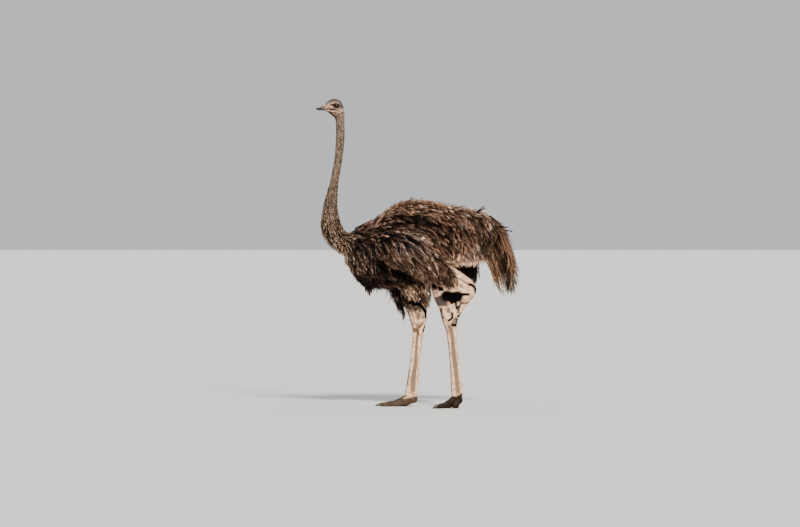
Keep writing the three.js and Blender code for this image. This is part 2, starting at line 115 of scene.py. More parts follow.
def smooth(low, high, value):
    """0 below low, 1 above high, and an eased step between them. low may be the larger one."""
    share = np.clip((value - low) / (high - low), 0, 1)
    return share * share * (3 - 2 * share)


def unit(vectors):
    return vectors / np.maximum(np.linalg.norm(vectors, axis=-1, keepdims=True), 1e-12)


def squared(value, power):
    """A circle's coordinate pushed outwards, so that the ring is a little square."""
    return np.sign(value) * np.abs(value) ** power


# Rings of the feathered outline from rump to bill: back x and z, belly x and z, half width, the coat's depth.
BODY = MM * np.array([
    [472, 1120, 470, 1000, 52, 26],
    [446, 1172, 450, 930, 116, 30],
    [398, 1206, 412, 910, 160, 34],
    [322, 1221, 338, 892, 193, 36],
    [220, 1244, 235, 872, 217, 36],
    [110, 1266, 120, 792, 232, 36],
    [0, 1279, 0, 758, 237, 36],
    [-100, 1270, -110, 732, 234, 36],
    [-190, 1224, -225, 716, 221, 36],
    [-268, 1162, -325, 728, 198, 35],
    [-330, 1124, -390, 786, 168, 32],
    [-378, 1100, -430, 862, 134, 27],
    [-413, 1080, -450, 924, 99, 21],
    [-437, 1083, -500, 956, 82, 16],
    [-457, 1098, -551, 1002, 68, 12],
    [-471, 1121, -584, 1054, 58, 10],
    [-480, 1149, -597, 1112, 51, 9],
    [-487, 1182, -596, 1162, 46, 8],
    [-494, 1227, -588, 1218, 41, 7],
    [-495, 1281, -573, 1278, 35.5, 5],
    [-494, 1337, -556, 1335, 29.5, 3],
    [-490, 1387, -542, 1381, 26.5, 2],
    [-479, 1448, -528, 1441, 25, 1.5],
    [-469, 1509, -517, 1503, 24.5, 1.5],
    [-461, 1571, -509, 1566, 24.5, 1.5],
    [-454, 1640, -505, 1636, 25, 1.5],
    [-452, 1700, -503, 1698, 25.5, 1.5],
    [-453, 1756, -505, 1750, 26.5, 1.3],
    [-454, 1797, -509, 1772, 28.5, 1],
    [-457, 1830, -516, 1785, 33, 0.8],
    [-464, 1859, -526, 1793, 36.5, 0.8],
    [-478, 1882, -536, 1801, 38.5, 0.8],
    [-499, 1894, -547, 1809, 38.5, 0.8],
    [-523, 1895, -557, 1815, 35, 0.8],
    [-545, 1887, -567, 1820, 30.5, 0.6],
    [-564, 1873, -577, 1824, 26.5, 0.4],
    [-580, 1861, -588, 1827, 23, 0.3],
])
NECK_ROOT, NECK_BEND, NAPE, BILL_ROOT = 12, 19, 28, 36  # row numbers
RUMP_ROUNDING = 1.6  # rows over which the skin closes at the rump
TRUNK_RINGS, NECK_RINGS, HEAD_RINGS = 66, 190, 150
BODY_SIDES = 96

# Two furrows of the body, as paths in side view in x and z: the cleft between back and wing, and the deep
# fold behind the round lobe of the breast.
CLEFT = [(-262, 1066), (-170, 1104), (-80, 1134), (0, 1132), (85, 1124), (188, 1104)]
LOBE_EDGE = [(-214, 960), (-212, 890), (-205, 820), (-196, 756)]
CLEFT_DEPTH, CLEFT_HALF_WIDTH = 24 * MM, 22
LOBE_EDGE_SHARE, LOBE_EDGE_HALF_WIDTH = 1.2, 26  # its depth is a share of the cleft's


def body_points(rows, angles):
    """Points of the body at row numbers and at angles from the back towards the right, under the coat."""
    back_x, back_z, belly_x, belly_z, width, coat = np.moveaxis(spline(BODY, rows), -1, 0)
    power = 0.86 + 0.05 * smooth(NECK_ROOT, NECK_BEND, rows)
    egg = 0.07 * smooth(NECK_ROOT, NECK_ROOT - 3, rows) + 0.06 * smooth(NAPE, NAPE + 2, rows)
    up_x, up_z = (back_x - belly_x) / 2, (back_z - belly_z) / 2
    half = np.hypot(up_x, up_z)
    rump = 1 - np.clip(rows / RUMP_ROUNDING, 0, 1)
    closing = np.sqrt(np.maximum(1 - rump**2, 0))
    high = (half - coat) * closing * squared(np.cos(angles), power)
    wide = (width - coat) * closing * (1 - egg * np.cos(angles)) * squared(np.sin(angles), power)
    x = (back_x + belly_x) / 2 + up_x / half * high - coat * rump
    z = (back_z + belly_z) / 2 + up_z / half * high
    lobe_edge = LOBE_EDGE_SHARE * crease(x, z, LOBE_EDGE, LOBE_EDGE_HALF_WIDTH)
    folded = np.maximum(crease(x, z, CLEFT, CLEFT_HALF_WIDTH), lobe_edge)
    wide = wide - CLEFT_DEPTH * folded * np.sin(angles)
    return np.stack([x, wide, z], -1)


def grid(rows, sides):
    """Row numbers and angles of every point of a stack of rings."""
    angles = np.arange(sides) * 2 * math.pi / sides
    return np.meshgrid(rows, angles, indexing="ij")


def ring_normals(points):
    """Outward normals of a stack of rings."""
    along = np.gradient(points, axis=0)
    around = np.roll(points, -1, 1) - np.roll(points, 1, 1)
    normals = unit(np.cross(along, around))
    outward = points - points.mean(1, keepdims=True)
    return normals * np.sign((normals * outward).sum(-1).sum(1, keepdims=True))[..., None]


# The face. Folds and creases follow paths in side view, in x and z, with a height and a width of their own.
# Brow, lore and ear are a bulge and two hollows, and the lids open round a tilted oval.
EYE = np.array([-501, 22, 1853]) * MM
EYE_RADIUS = 21 * MM
LIDS = {"length": 19.5 * MM, "above": 11.5 * MM, "below": 12.5 * MM, "thick": 1.8 * MM, "tilt": -0.12}
CREASES = [  # height, half width, path
    (2.8, 4.5, [(-546, 1862), (-528, 1873), (-503, 1879), (-480, 1873), (-470, 1860)]),  # brow
    (-1.8, 2.0, [(-533, 1861), (-518, 1868), (-500, 1870), (-484, 1865)]),  # fold of the upper lid
    (-2.0, 2.0, [(-531, 1848), (-517, 1838), (-499, 1834), (-482, 1838), (-474, 1846)]),  # under the eye
    (2.2, 3.4, [(-566, 1840), (-540, 1840), (-515, 1832), (-488, 1830), (-472, 1836)]),  # cheek fold
    (-4.2, 2.3, [(-596, 1830), (-575, 1831), (-557, 1832.5), (-536, 1830), (-512, 1826),
                 (-486, 1823)]),  # gape
    (2.6, 3.8, [(-574, 1823), (-548, 1824), (-522, 1817), (-496, 1813), (-480, 1814)]),  # jowl
    (-2.6, 2.2, [(-556, 1817), (-532, 1812), (-510, 1806), (-490, 1800)]),  # under the jowl
    (1.6, 3.2, [(-538, 1806), (-516, 1797), (-498, 1790)]),  # throat fold
    (-1.6, 2.0, [(-524, 1796), (-506, 1786), (-492, 1780)]),  # throat crease
    (1.8, 3.0, [(-470, 1846), (-464, 1832), (-464, 1818)]),  # rim before the ear
]
BROW = {"long": 27 * MM, "tall": 21 * MM, "height": 3.4 * MM}
EAR = {"x": -466 * MM, "z": 1807 * MM, "radius": 4.2 * MM, "depth": 5.5 * MM, "rim": 1.4 * MM}
LORE = {"x": -552 * MM, "z": 1849 * MM, "radius": 11 * MM, "depth": 2.2 * MM}
LID_FLOOR = 0.42 * EYE_RADIUS  # no lid lies nearer than this to the plane through the ball's middle
CREASE_STEPS = 160


def crease(x, z, path, width, taper=0.16):
    """1 along a smooth path in side view, falling off over its half width and thinning towards its ends."""
    x, z = np.broadcast_arrays(x, z)
    share = np.linspace(0, 1, CREASE_STEPS)
    points = spline(np.array(path, float) * MM, share * (len(path) - 1))
    strength = smooth(0, taper, share) * smooth(1, 1 - taper, share)
    width = width * MM * np.ones(x.shape)
    reach = 3 * width.max(initial=0)
    near = (x > points[:, 0].min() - reach) & (x < points[:, 0].max() + reach)
    near = near & (z > points[:, 1].min() - reach) & (z < points[:, 1].max() + reach)
    away = np.hypot(x[near][:, None] - points[:, 0], z[near][:, None] - points[:, 1])
    value = np.zeros(x.shape)
    value[near] = (strength * np.exp(-((away / width[near][:, None]) ** 2))).max(1, initial=0)
    return value


def lid_share(x, z):
    """0 at the middle of the eye's opening, 1 at the edge of the lids, more outside."""
    along, across = x - EYE[0], z - EYE[2]
    turned = along * math.cos(LIDS["tilt"]) + across * math.sin(LIDS["tilt"])
    upright = across * math.cos(LIDS["tilt"]) - along * math.sin(LIDS["tilt"])
    reach = np.where(upright > 0, LIDS["above"], LIDS["below"])
    return np.hypot(turned / LIDS["length"], upright / reach)


def shape_head(points):
    """Adds brow, lids, folds, gape and ears to the head's rings."""
    normals = ring_normals(points)
    x, y, z = np.moveaxis(points, -1, 0)
    sideways = smooth(0.25, 0.75, np.abs(normals[..., 1]))
    along, up = (x - EYE[0]) / BROW["long"], (z - EYE[2]) / BROW["tall"]
    raised = BROW["height"] * np.exp(-(along**2) - up**2)
    for height, width, path in CREASES:
        raised = raised + height * MM * crease(x, z, path, width)
    raised = raised - LORE["depth"] * np.exp(-(np.hypot(x - LORE["x"], z - LORE["z"]) / LORE["radius"]) ** 2)
    ear = np.hypot(x - EAR["x"], (z - EAR["z"]) * 0.8) / EAR["radius"]
    raised = raised - EAR["depth"] * np.exp(-(ear**4)) + EAR["rim"] * np.exp(-(((ear - 1.7) / 0.5) ** 2))
    points = points + normals * (raised * sideways)[..., None]
    side = np.sign(y)
    away = np.hypot(x - EYE[0], z - EYE[2])
    ball = np.sqrt(np.maximum(EYE_RADIUS**2 - away**2, LID_FLOOR**2))
    share = lid_share(x, z)
    lid = EYE[1] + ball + np.where(share < 1, -8 * MM * smooth(1.0, 0.84, share), 0) + 1.0 * MM
    settled = smooth(1.9, 1.15, share) * (np.abs(y) > 0.012)
    wide = np.abs(points[..., 1]) * (1 - settled) + lid * settled
    dome = EYE[1] + np.sqrt(np.maximum(EYE_RADIUS**2 - away**2, 0)) + 0.9 * MM
    covered = (share >= 1) & (away < EYE_RADIUS) & (np.abs(y) > 0.012)
    points[..., 1] = side * np.where(covered, np.maximum(wide, dome), wide)
    return points


# Each leg in slices from inside the flank to the toe joint: height, front x, back x, middle y, half width.
LEGS = {
    LEFT: MM * np.array([
        [930, -34, 150, -120, 70],
        [868, 4, 208, -128, 76],
        [813, 44, 288, -131, 77],
        [770, 70, 338, -131, 73],
        [724, 82, 357, -131, 68],
        [680, 92, 341, -130, 61],
        [641, 111, 307, -129, 53],
        [604, 129, 282, -128, 47],
        [567, 139, 256, -127, 44],
        [530, 147, 241, -126, 41],
        [502, 160, 237, -126, 36],
        [474, 171, 234, -125, 30],
        [382, 184, 236, -123, 24],
        [290, 193, 249, -121, 22.5],
        [197, 198, 260, -119, 24],
        [135, 200, 268, -118, 29],
        [92, 201, 272, -117, 33],
        [60, 206, 268, -117, 31],
    ]),
    RIGHT: MM * np.array([
        [930, -200, 10, 118, 74],
        [868, -200, 36, 124, 76],
        [813, -186, 50, 127, 73],
        [770, -176, 62, 127, 69],
        [724, -156, 70, 127, 65],
        [680, -124, 73, 126, 59],
        [641, -100, 70, 125, 52],
        [604, -79, 57, 124, 47],
        [567, -60, 54, 124, 44],
        [527, -48, 52, 124, 42],
        [500, -40, 46, 124, 36],
        [462, -33, 35, 123, 30],
        [382, -37, 20, 122, 24],
        [290, -48, 10, 121, 23],
        [197, -61, 5, 120, 24.5],
        [135, -70, 2, 119, 29],
        [92, -80, -3, 119, 34],
        [60, -77, -11, 119, 32],
    ]),
}
LEG_SIDES = 72
LEG_STEP = 4 * MM
SOLE_TOP = 66 * MM  # the lowest slice of a leg, inside the foot
ANKLE = 530 * MM
KNOB, TENDON, SHANK_HOLLOW = 3.2 * MM, 2.5 * MM, 2.2 * MM
# The darkness of a fold is painted shade in and under it, with some dark marks of the skin among them.
FOLDS = {  # on each leg: height, half width, darkness, and a path in side view
    LEFT: [
        (-5, 4.5, 0.5, [(236, 797), (262, 784), (290, 768), (318, 756)]),
        (-6, 6.0, 0.95, [(308, 757), (331, 752), (346, 737), (354, 718), (351, 702)]),
        (7, 9.0, 0.0, [(262, 800), (300, 782), (334, 764)]),
        (8, 7.0, 0.0, [(66, 770), (92, 765), (112, 756), (132, 745), (152, 738), (186, 734)]),
        (6, 14.0, 0.0, [(160, 732), (190, 726)]),
        (-12, 9.0, 0.95, [(84, 754), (108, 742), (128, 732), (148, 727)]),
        (-3, 3.5, 0.6, [(96, 702), (114, 708), (132, 714)]),
        (8, 7.0, 0.0, [(92, 676), (116, 682), (138, 693), (164, 707)]),
        (-20, 22.0, 1.0, [(164, 688), (192, 682), (220, 680), (252, 684)]),
        (-10, 6.0, 1.0, [(230, 701), (262, 697), (286, 696), (312, 696)]),
        (-8, 10.0, 1.0, [(184, 674), (198, 662), (208, 648)]),
        (9, 16.0, 0.0, [(270, 668), (292, 668), (314, 664)]),
        (-5, 4.2, 0.7, [(256, 662), (262, 646), (280, 640), (300, 642), (318, 652)]),
        (8, 6.0, 0.0, [(208, 652), (212, 664), (228, 668), (242, 662), (250, 646), (251, 622), (246, 602),
                       (240, 586)]),
        (-9, 5.5, 0.95, [(220, 658), (230, 642), (234, 624), (237, 604)]),
        (-6, 4.2, 0.9, [(250, 666), (260, 650), (259, 632), (252, 616), (246, 598), (243, 578)]),
        (6, 6.0, 0.0, [(156, 678), (168, 660), (182, 640)]),
        (6, 9.0, 0.0, [(268, 628), (270, 608), (264, 588)]),
        (-5, 6.0, 0.95, [(270, 580), (258, 567), (245, 561)]),
        (-5, 4.6, 0.9, [(203, 586), (209, 568), (208, 553), (197, 543), (182, 533)]),
        (-4, 4.0, 0.8, [(137, 556), (155, 552)]),
        (0, 4.5, 0.75, [(146, 578), (138, 556), (139, 538), (150, 518), (162, 500), (170, 482)]),
        (-3, 3.5, 0.5, [(156, 562), (150, 545), (155, 526)]),
        (0, 6.0, 0.6, [(135, 608), (142, 590), (148, 568)]),
        (-4, 4.0, 0.85, [(228, 549), (239, 540), (238, 520)]),
        (-5, 5.5, 0.95, [(208, 513), (222, 505), (235, 512)]),
        (-3, 3.2, 0.5, [(218, 548), (210, 532), (210, 514)]),
    ],
    RIGHT: [
        (0, 14.0, 0.9, [(-108, 644), (-88, 638), (-66, 640)]),
        (0, 10.0, 0.8, [(-78, 628), (-58, 616), (-42, 606)]),
        (0, 11.0, 0.9, [(-46, 644), (-20, 634), (8, 642)]),
        (0, 8.0, 0.8, [(-34, 628), (-18, 606), (0, 612)]),
        (0, 6.0, 0.7, [(-2, 626), (10, 606), (14, 588)]),
        (0, 5.0, 0.7, [(-36, 586), (-24, 594), (-14, 580)]),
        (-9, 7.5, 0.97, [(-12, 652), (14, 628), (36, 602), (51, 577), (53, 546)]),
        (6, 6.0, 0.0, [(-6, 656), (14, 645), (34, 629), (50, 610)]),
        (-5, 5.0, 0.8, [(12, 658), (34, 642), (46, 628), (54, 612)]),
        (-5, 4.5, 0.6, [(-50, 599), (-40, 578), (-33, 558)]),
        (6, 7.0, 0.0, [(-27, 600), (-22, 560), (-24, 520), (-28, 488)]),
        (-4, 4.0, 0.65, [(31, 515), (19, 501), (7, 487)]),
        (-4, 4.4, 0.9, [(44, 498), (39, 477), (32, 459)]),
        (-5, 8.0, 0.65, [(-38, 476), (-26, 472), (-12, 473)]),
        (-3, 3.5, 0.6, [(0, 460), (4, 444)]),
        (0, 4.0, 0.6, [(-62, 592), (-56, 560), (-51, 535), (-42, 510), (-36, 486)]),
    ],
}


def slice_at(side, heights):
    """Front x, back x, middle y and half width of a leg at some heights."""
    table = LEGS[side]
    rows = np.interp(-np.asarray(heights), -table[:, 0], np.arange(len(table)))
    return np.moveaxis(spline(table, rows), -1, 0)[1:]


def leg_points(side, heights, angles, grow=0.0):
    """Points of a leg at some heights and at angles from the back round the outer side to the front.

    grow moves them outwards.
    """
    front, back, middle, width = slice_at(side, heights)
    lateral = np.abs(np.sin(angles))
    knob = KNOB * np.exp(-(((heights - ANKLE) / (24 * MM)) ** 2)) * lateral**3
    shank = smooth(0.50, 0.43, heights) * smooth(0.08, 0.14, heights)
    tendon = TENDON * shank * np.exp(-((np.sin(angles) / 0.42) ** 2)) * (np.cos(angles) > 0)
    hollow = -SHANK_HOLLOW * shank * np.exp(-(((np.cos(angles) - 0.45) / 0.22) ** 2))
    across = front + (back - front) * (1 + np.cos(angles)) / 2
    folds = sum(height * MM * crease(across, heights, path, half) for height, half, _, path in FOLDS[side])
    raised = knob + hollow + tendon + grow + folds * smooth(0.15, 0.55, lateral)
    deep = ((back - front) / 2 + raised) * squared(np.cos(angles), 0.94)
    wide = (width + raised) * squared(np.sin(angles), 0.94)
    return np.stack([(front + back) / 2 + deep, middle + side * wide, heights], -1)


# Toes as stations out from the joint: distance, height of the middle, half height, half width.
INNER_TOE = MM * np.array([
    [-41, 45, 5, 5],
    [-38, 46, 14, 13],
    [-26, 49, 25, 23],
    [0, 50, 33, 31],
    [32, 42, 31, 30],
    [60, 31, 26, 26],
    [84, 22, 24, 28],
    [110, 16, 19, 24.5],
    [134, 14, 18, 27],
    [162, 11, 14, 23],
    [184, 8.5, 11, 18],
    [192, 8, 6, 9],
])
OUTER_TOE = MM * np.array([
    [-26, 42, 5, 5],
    [-22, 43, 14, 13],
    [-10, 44, 22, 20],
    [20, 34, 25, 22],
    [55, 19, 22, 20],
    [88, 12.5, 16, 17],
    [112, 9, 11, 12],
    [119, 8, 5, 6],
])
FEET = {
    LEFT: {"joint": MM * np.array([238, -117]), "inner": -47, "outer": -82},
    RIGHT: {"joint": MM * np.array([-43, 119]), "inner": 4, "outer": 40},
}
TOE_SIDES = 36
TOE_STEP = 2.6 * MM


def heading(degrees):
    """The level direction that lies so many degrees to the right of straight ahead."""
    turn = math.radians(degrees)
    return np.array([-math.cos(turn), math.sin(turn)])


def toe_points(table, joint, degrees, distances, angles, grow=0.0):
    """Points of a toe at distances from its joint and at angles from the top, flat where it meets the floor.

    grow moves them outwards.
    """
    rows = np.interp(distances, table[:, 0], np.arange(len(table)))
    _, middle, high, wide = np.moveaxis(spline(table, rows), -1, 0)
    ahead = heading(degrees)
    across = np.array([-ahead[1], ahead[0]])
    out = (wide + grow) * squared(np.sin(angles), 0.92)
    x = joint[0] + ahead[0] * distances + across[0] * out
    y = joint[1] + ahead[1] * distances + across[1] * out
    z = np.maximum(middle + (high + grow) * squared(np.cos(angles), 0.92), 0)
    return np.stack([x, y, z], -1)


# The arm of each folded wing: x, distance from the middle plane, z, and half the height and the thickness
# out to its feathers.
WING = MM * np.array([
    [-262, 142, 992, 22, 16],
    [-240, 164, 990, 66, 38],
    [-199, 188, 986, 100, 52],
    [-126, 210, 969, 119, 58],
    [-46, 221, 942, 120, 60],
    [30, 225, 898, 110, 60],
    [100, 223, 852, 96, 54],
    [156, 217, 802, 70, 42],
    [200, 208, 748, 30, 20],
])
WING_COAT = 26 * MM
WING_THINNEST = 3 * MM
WING_RINGS, WING_SIDES = 44, 48
WING_ENDS = (0.1, 7.8)  # row numbers of the first ring and the last


def wing_points(side, rows, angles):
    """Points of a folded wing at row numbers and at angles from its upper edge towards its outer face."""
    x, away, z, high, thick = np.moveaxis(spline(WING, rows), -1, 0)
    ahead = spline(WING, np.minimum(rows + 0.05, len(WING) - 1))
    behind = spline(WING, np.maximum(rows - 0.05, 0))
    run = unit((ahead - behind)[..., :3])
    upright = unit(np.stack([-run[..., 2], 0 * x, run[..., 0]], -1))
    outward = unit(np.cross(run, upright))
    outward = outward * np.sign(outward[..., 1:2])
    high = np.maximum(high - WING_COAT, WING_THINNEST)
    thick = np.maximum(thick - WING_COAT * 0.8, WING_THINNEST)
    centre = np.stack([x, away, z], -1)
    points = centre + upright * (high * squared(np.cos(angles), 0.95))[..., None]
    points = points + outward * (thick * squared(np.sin(angles), 0.95))[..., None]
    return points * np.array([1, side, 1])


def closed_mesh(name, rings):
    """A closed mesh over rings, with a fan at each end. A ring may have twice the points of the last one."""
    vertices = np.concatenate(rings)
    faces = []
    start = 0
    for lower, upper in zip(rings, rings[1:]):
        sides, finer = len(lower), len(upper)
        one = np.arange(sides)
        nxt = (one + 1) % sides
        above = start + sides
        if finer == sides:
            faces += np.stack([start + one, start + nxt, above + nxt, above + one], 1).tolist()
        else:
            first, middle, last = 2 * one, 2 * one + 1, (2 * one + 2) % finer
            faces += np.stack([start + one, above + middle, above + first], 1).tolist()
            faces += np.stack([start + one, start + nxt, above + middle], 1).tolist()
            faces += np.stack([start + nxt, above + last, above + middle], 1).tolist()
        start = above
    hubs = [rings[0].mean(0), rings[-1].mean(0)]
    count = len(vertices)
    first, last = len(rings[0]), len(rings[-1])
    for s in range(first):
        faces.append([count, (s + 1) % first, s])
    for s in range(last):
        faces.append([count + 1, start + s, start + (s + 1) % last])
    mesh = bpy.data.meshes.new(name)
    mesh.from_pydata(np.vstack([vertices, hubs]).tolist(), [], faces)
    middle = Vector(vertices.min(0) + vertices.max(0)) / 2
    volume = sum((mesh.vertices[f.vertices[0]].co - middle).dot(f.normal) * f.area for f in mesh.polygons)
    if volume < 0:
        mesh.flip_normals()
    return placed(name, mesh)


def grow_together(whole, part):
    """Joins a closed piece into another, as one surface, and removes it."""
    union = whole.modifiers.new("union", "BOOLEAN")
    union.operation = "UNION"
    union.solver = "MANIFOLD"
    union.object = part
    grown = whole.evaluated_get(bpy.context.evaluated_depsgraph_get())
    mesh = bpy.data.meshes.new_from_object(grown)
    whole.modifiers.remove(union)
    whole.data = mesh
    bpy.data.objects.remove(part)


trunk_rows = np.linspace(0.02, NECK_ROOT, TRUNK_RINGS, endpoint=False)
neck_rows = np.linspace(NECK_ROOT, NAPE, NECK_RINGS, endpoint=False)
head_rows = np.linspace(NAPE, BILL_ROOT, HEAD_RINGS)
lower_rings = body_points(*grid(np.concatenate([trunk_rows, neck_rows]), BODY_SIDES))
head_rings = shape_head(body_points(*grid(head_rows, 2 * BODY_SIDES)))
LIP_STEPS = ((0.985, 0.7 * MM), (0.95, 1.1 * MM), (0.90, 1.2 * MM))  # size, and how far ahead
HEEL_STEPS = ((0.97, 5 * MM), (0.88, 10 * MM), (0.70, 14 * MM))  # size, and how far below


def rounded_end(ring, direction, steps):
    """Smaller and smaller copies of a ring, each further along the direction."""
    middle = ring.mean(0)
    return [middle + (ring - middle) * size + np.array(direction) * out for size, out in steps]


skin = closed_mesh("skin", [*lower_rings, *head_rings, *rounded_end(head_rings[-1], (-1, 0, 0), LIP_STEPS)])

for side in (LEFT, RIGHT):
    heights, angles = grid(np.arange(LEGS[side][0, 0], SOLE_TOP, -LEG_STEP), LEG_SIDES)
    angles = angles + 0.32 * np.sin(2 * angles)  # closest on the flat sides, where the folds are
    rings = leg_points(side, heights, angles)
    grow_together(skin, closed_mesh("leg", [*rings, *rounded_end(rings[-1], (0, 0, -1), HEEL_STEPS)]))
    foot = FEET[side]
    for toe, table in (("inner", INNER_TOE), ("outer", OUTER_TOE)):
        distances, angles = grid(np.arange(table[0, 0], table[-1, 0], TOE_STEP), TOE_SIDES)
        rings = toe_points(table, foot["joint"], foot[toe], distances, angles)
        grow_together(skin, closed_mesh("toe", rings))
    rings = wing_points(side, *grid(np.linspace(*WING_ENDS, WING_RINGS), WING_SIDES))
    grow_together(skin, closed_mesh("wing arm", rings))

# The rims of the lids: a rounded cord of skin round each eye's opening, lying on the ball.
LID_STEPS, LID_SIDES = 84, 10


def lid_curve(turn, side):
    """Points on the ball round the eye's opening, and the directions out of the ball there."""
    reach = np.where(np.sin(turn) > 0, LIDS["above"], LIDS["below"])
    along, upright = LIDS["length"] * np.cos(turn), reach * np.sin(turn)
    x = along * math.cos(LIDS["tilt"]) - upright * math.sin(LIDS["tilt"])
    z = upright * math.cos(LIDS["tilt"]) + along * math.sin(LIDS["tilt"])
    y = np.sqrt(np.maximum(EYE_RADIUS**2 - x**2 - z**2, LID_FLOOR**2))
    ball = np.stack([x, y, z], -1)
    mirror = np.array([1, side, 1])
    return (EYE + ball) * mirror, unit(ball) * mirror


def lid_rim(side):
    """The closed cord of skin along the edge of the lids."""
    turn = np.arange(LID_STEPS) * 2 * math.pi / LID_STEPS
    centre, radial = lid_curve(turn, side)
    run = unit(np.roll(centre, -1, 0) - np.roll(centre, 1, 0))
    flat = np.cross(run, radial)
    thick = LIDS["thick"] * (1 + 0.45 * np.maximum(np.sin(turn), 0))
    around = np.arange(LID_SIDES) * 2 * math.pi / LID_SIDES
    up, aside = 0.8 * np.cos(around)[None, :, None], np.sin(around)[None, :, None]
    section = radial[:, None] * up + flat[:, None] * aside
    ring = centre[:, None] + section * thick[:, None, None] + radial[:, None] * 0.4 * MM
    steps, sides = np.meshgrid(np.arange(LID_STEPS), np.arange(LID_SIDES), indexing="ij")
    after, beside = (steps + 1) % LID_STEPS, (sides + 1) % LID_SIDES
    quads = np.stack([steps * LID_SIDES + sides, steps * LID_SIDES + beside,
                      after * LID_SIDES + beside, after * LID_SIDES + sides], -1).reshape(-1, 4)
    mesh = bpy.data.meshes.new("lid")
    mesh.from_pydata(ring.reshape(-1, 3).tolist(), [], quads.tolist())
    face = mesh.polygons[0]
    if (face.center - Vector(centre[0])).dot(face.normal) < 0:
        mesh.flip_normals()
    return placed("lid", mesh)


for side in (LEFT, RIGHT):
    grow_together(skin, lid_rim(side))


def points_of(piece):
    """The points of a piece's mesh."""
    points = np.empty(len(piece.data.vertices) * 3)
    piece.data.vertices.foreach_get("co", points)
    return points.reshape(-1, 3)


class Signal:
    """A value in a node tree that takes part in Python arithmetic."""

    def __init__(self, tree, socket):
        self.tree, self.socket = tree, socket

    def maths(self, operation, other, swap=False):
        node = self.tree.nodes.new("ShaderNodeMath")
        node.operation = operation
        for slot, value in zip(node.inputs, (other, self) if swap else (self, other)):
            if isinstance(value, Signal):
                self.tree.links.new(value.socket, slot)
            else:
                slot.default_value = value
        return Signal(self.tree, node.outputs[0])

    def __add__(self, other):
        return self.maths("ADD", other)

    def __sub__(self, other):
        return self.maths("SUBTRACT", other)

    def __rsub__(self, other):
        return self.maths("SUBTRACT", other, swap=True)

    def __mul__(self, other):
        return self.maths("MULTIPLY", other)

    __radd__, __rmul__ = __add__, __mul__


class Wiring:
    """A node tree that grows one node at a time."""

    def node(self, kind, settings=None, out=0, **values):
        """Adds a node: its settings first, then values or links for its sockets, by name or by number."""
        node = self.tree.nodes.new(kind if "Node" in kind else self.family + kind)
        for label, value in (settings or {}).items():
            setattr(node, label, value)
        for label, value in values.items():
            key = int(label[1:]) if label[0] == "_" else label.replace("_", " ").title()
            socket = node.inputs[key]
            if isinstance(value, Signal):
                self.tree.links.new(value.socket, socket)
            else:
                socket.default_value = value
        return Signal(self.tree, node.outputs[out])


class Finish(Wiring):
    """A material that grows round one principled shader."""

    family = "ShaderNode"

    def __init__(self, name, **constants):
        self.material = bpy.data.materials.new(name)
        self.material.use_nodes = True
        self.tree = self.material.node_tree
        self.shader = self.tree.nodes["Principled BSDF"]
        for label, value in constants.items():
            self.shader.inputs[label.replace("_", " ").title().replace("Ior", "IOR")].default_value = value

    def attribute(self, label):
        return self.node("Attribute", {"attribute_name": label}, out=2)

    def place(self, stretch=(1, 1, 1)):
        here = self.node("TexCoord", out=3)
        return self.node("VectorMath", {"operation": "MULTIPLY"}, _0=here, _1=stretch)

    def noise(self, scale, detail=3, stretch=(1, 1, 1)):
        return self.node("TexNoise", vector=self.place(stretch), scale=scale, detail=detail)

    def cells(self, scale, stretch=(1, 1, 1)):
        """0 on the lines between small cells, rising towards their middles."""
        edge = {"feature": "DISTANCE_TO_EDGE"}
        return self.node("TexVoronoi", edge, vector=self.place(stretch), scale=scale)

    def between(self, value, low, high):
        eased = {"interpolation_type": "SMOOTHSTEP"}
        return self.node("MapRange", eased, value=value, from_min=low, from_max=high)

    def mix(self, share, first, second):
        first, second = ((*v, 1) if isinstance(v, tuple) else v for v in (first, second))
        return self.node("Mix", {"data_type": "RGBA"}, out=2, _0=share, _6=first, _7=second)

    def shade(self, colour, amount):
        return self.node("VectorMath", {"operation": "SCALE"}, _0=colour, scale=amount)

    def done(self, colour, height=None, depth=0.0):
        """Feeds the shader, with a bump whose full height is depth metres."""
        self.tree.links.new(colour.socket, self.shader.inputs["Base Color"])
        if height:
            bump = self.node("Bump", height=height, distance=depth)
            self.tree.links.new(bump.socket, self.shader.inputs["Normal"])
        return self.material


def keep(piece, **values):
    """Keeps a value at each point of a piece, for its finish."""
    for label, value in values.items():
        layer = piece.data.attributes.new(label, "FLOAT", "POINT")
        layer.data.foreach_set("value", np.ascontiguousarray(value, dtype=np.float32))


def on_leg(points, side):
    """1 on the surface of a leg, the share from its front to its back, and 1 on its left half."""
    front, back, middle, width = slice_at(side, np.clip(points[:, 2], 60 * MM, 930 * MM))
    share = (points[:, 0] - front) / (back - front)
    shell = (2 * share - 1) ** 2 + ((points[:, 1] - middle) / width) ** 2
    bare = smooth(0.28, 0.40, shell) * smooth(1.5, 1.3, shell) * (points[:, 2] < 0.93)
    return bare, share, smooth(0.35, -0.15, (points[:, 1] - middle) / width)


def shank_front_shade(points, side):
    """Painted shade: the dark line down the front of each shank, the side turned from the light."""
    z = points[:, 2]
    line = 0.85 * np.exp(-((on_leg(points, side)[1] / 0.10) ** 2)) * smooth(0.10, 0.14, z)
    return line * (smooth(0.27, 0.22, z) if side == RIGHT else 0.8 * smooth(0.56, 0.48, z))


def blot(points, x, z, long, tall):
    """1 at a place in side view, and fading out round it. Sizes in millimetres."""
    return np.exp(-(((points[:, 0] / MM - x) / long) ** 2) - ((points[:, 2] / MM - z) / tall) ** 2)


def ashen_share(points):
    """1 where painted shadow lies on the left thigh: a patch under a sloping edge, and a spot over it."""
    x, _, z = points.T
    patch = smooth(0.694, 0.684, z - 0.42 * (x - 0.130)) * smooth(0.618, 0.628, z) * smooth(0.188, 0.172, x)
    return np.maximum(patch, blot(points, 92, 728, 26, 16))


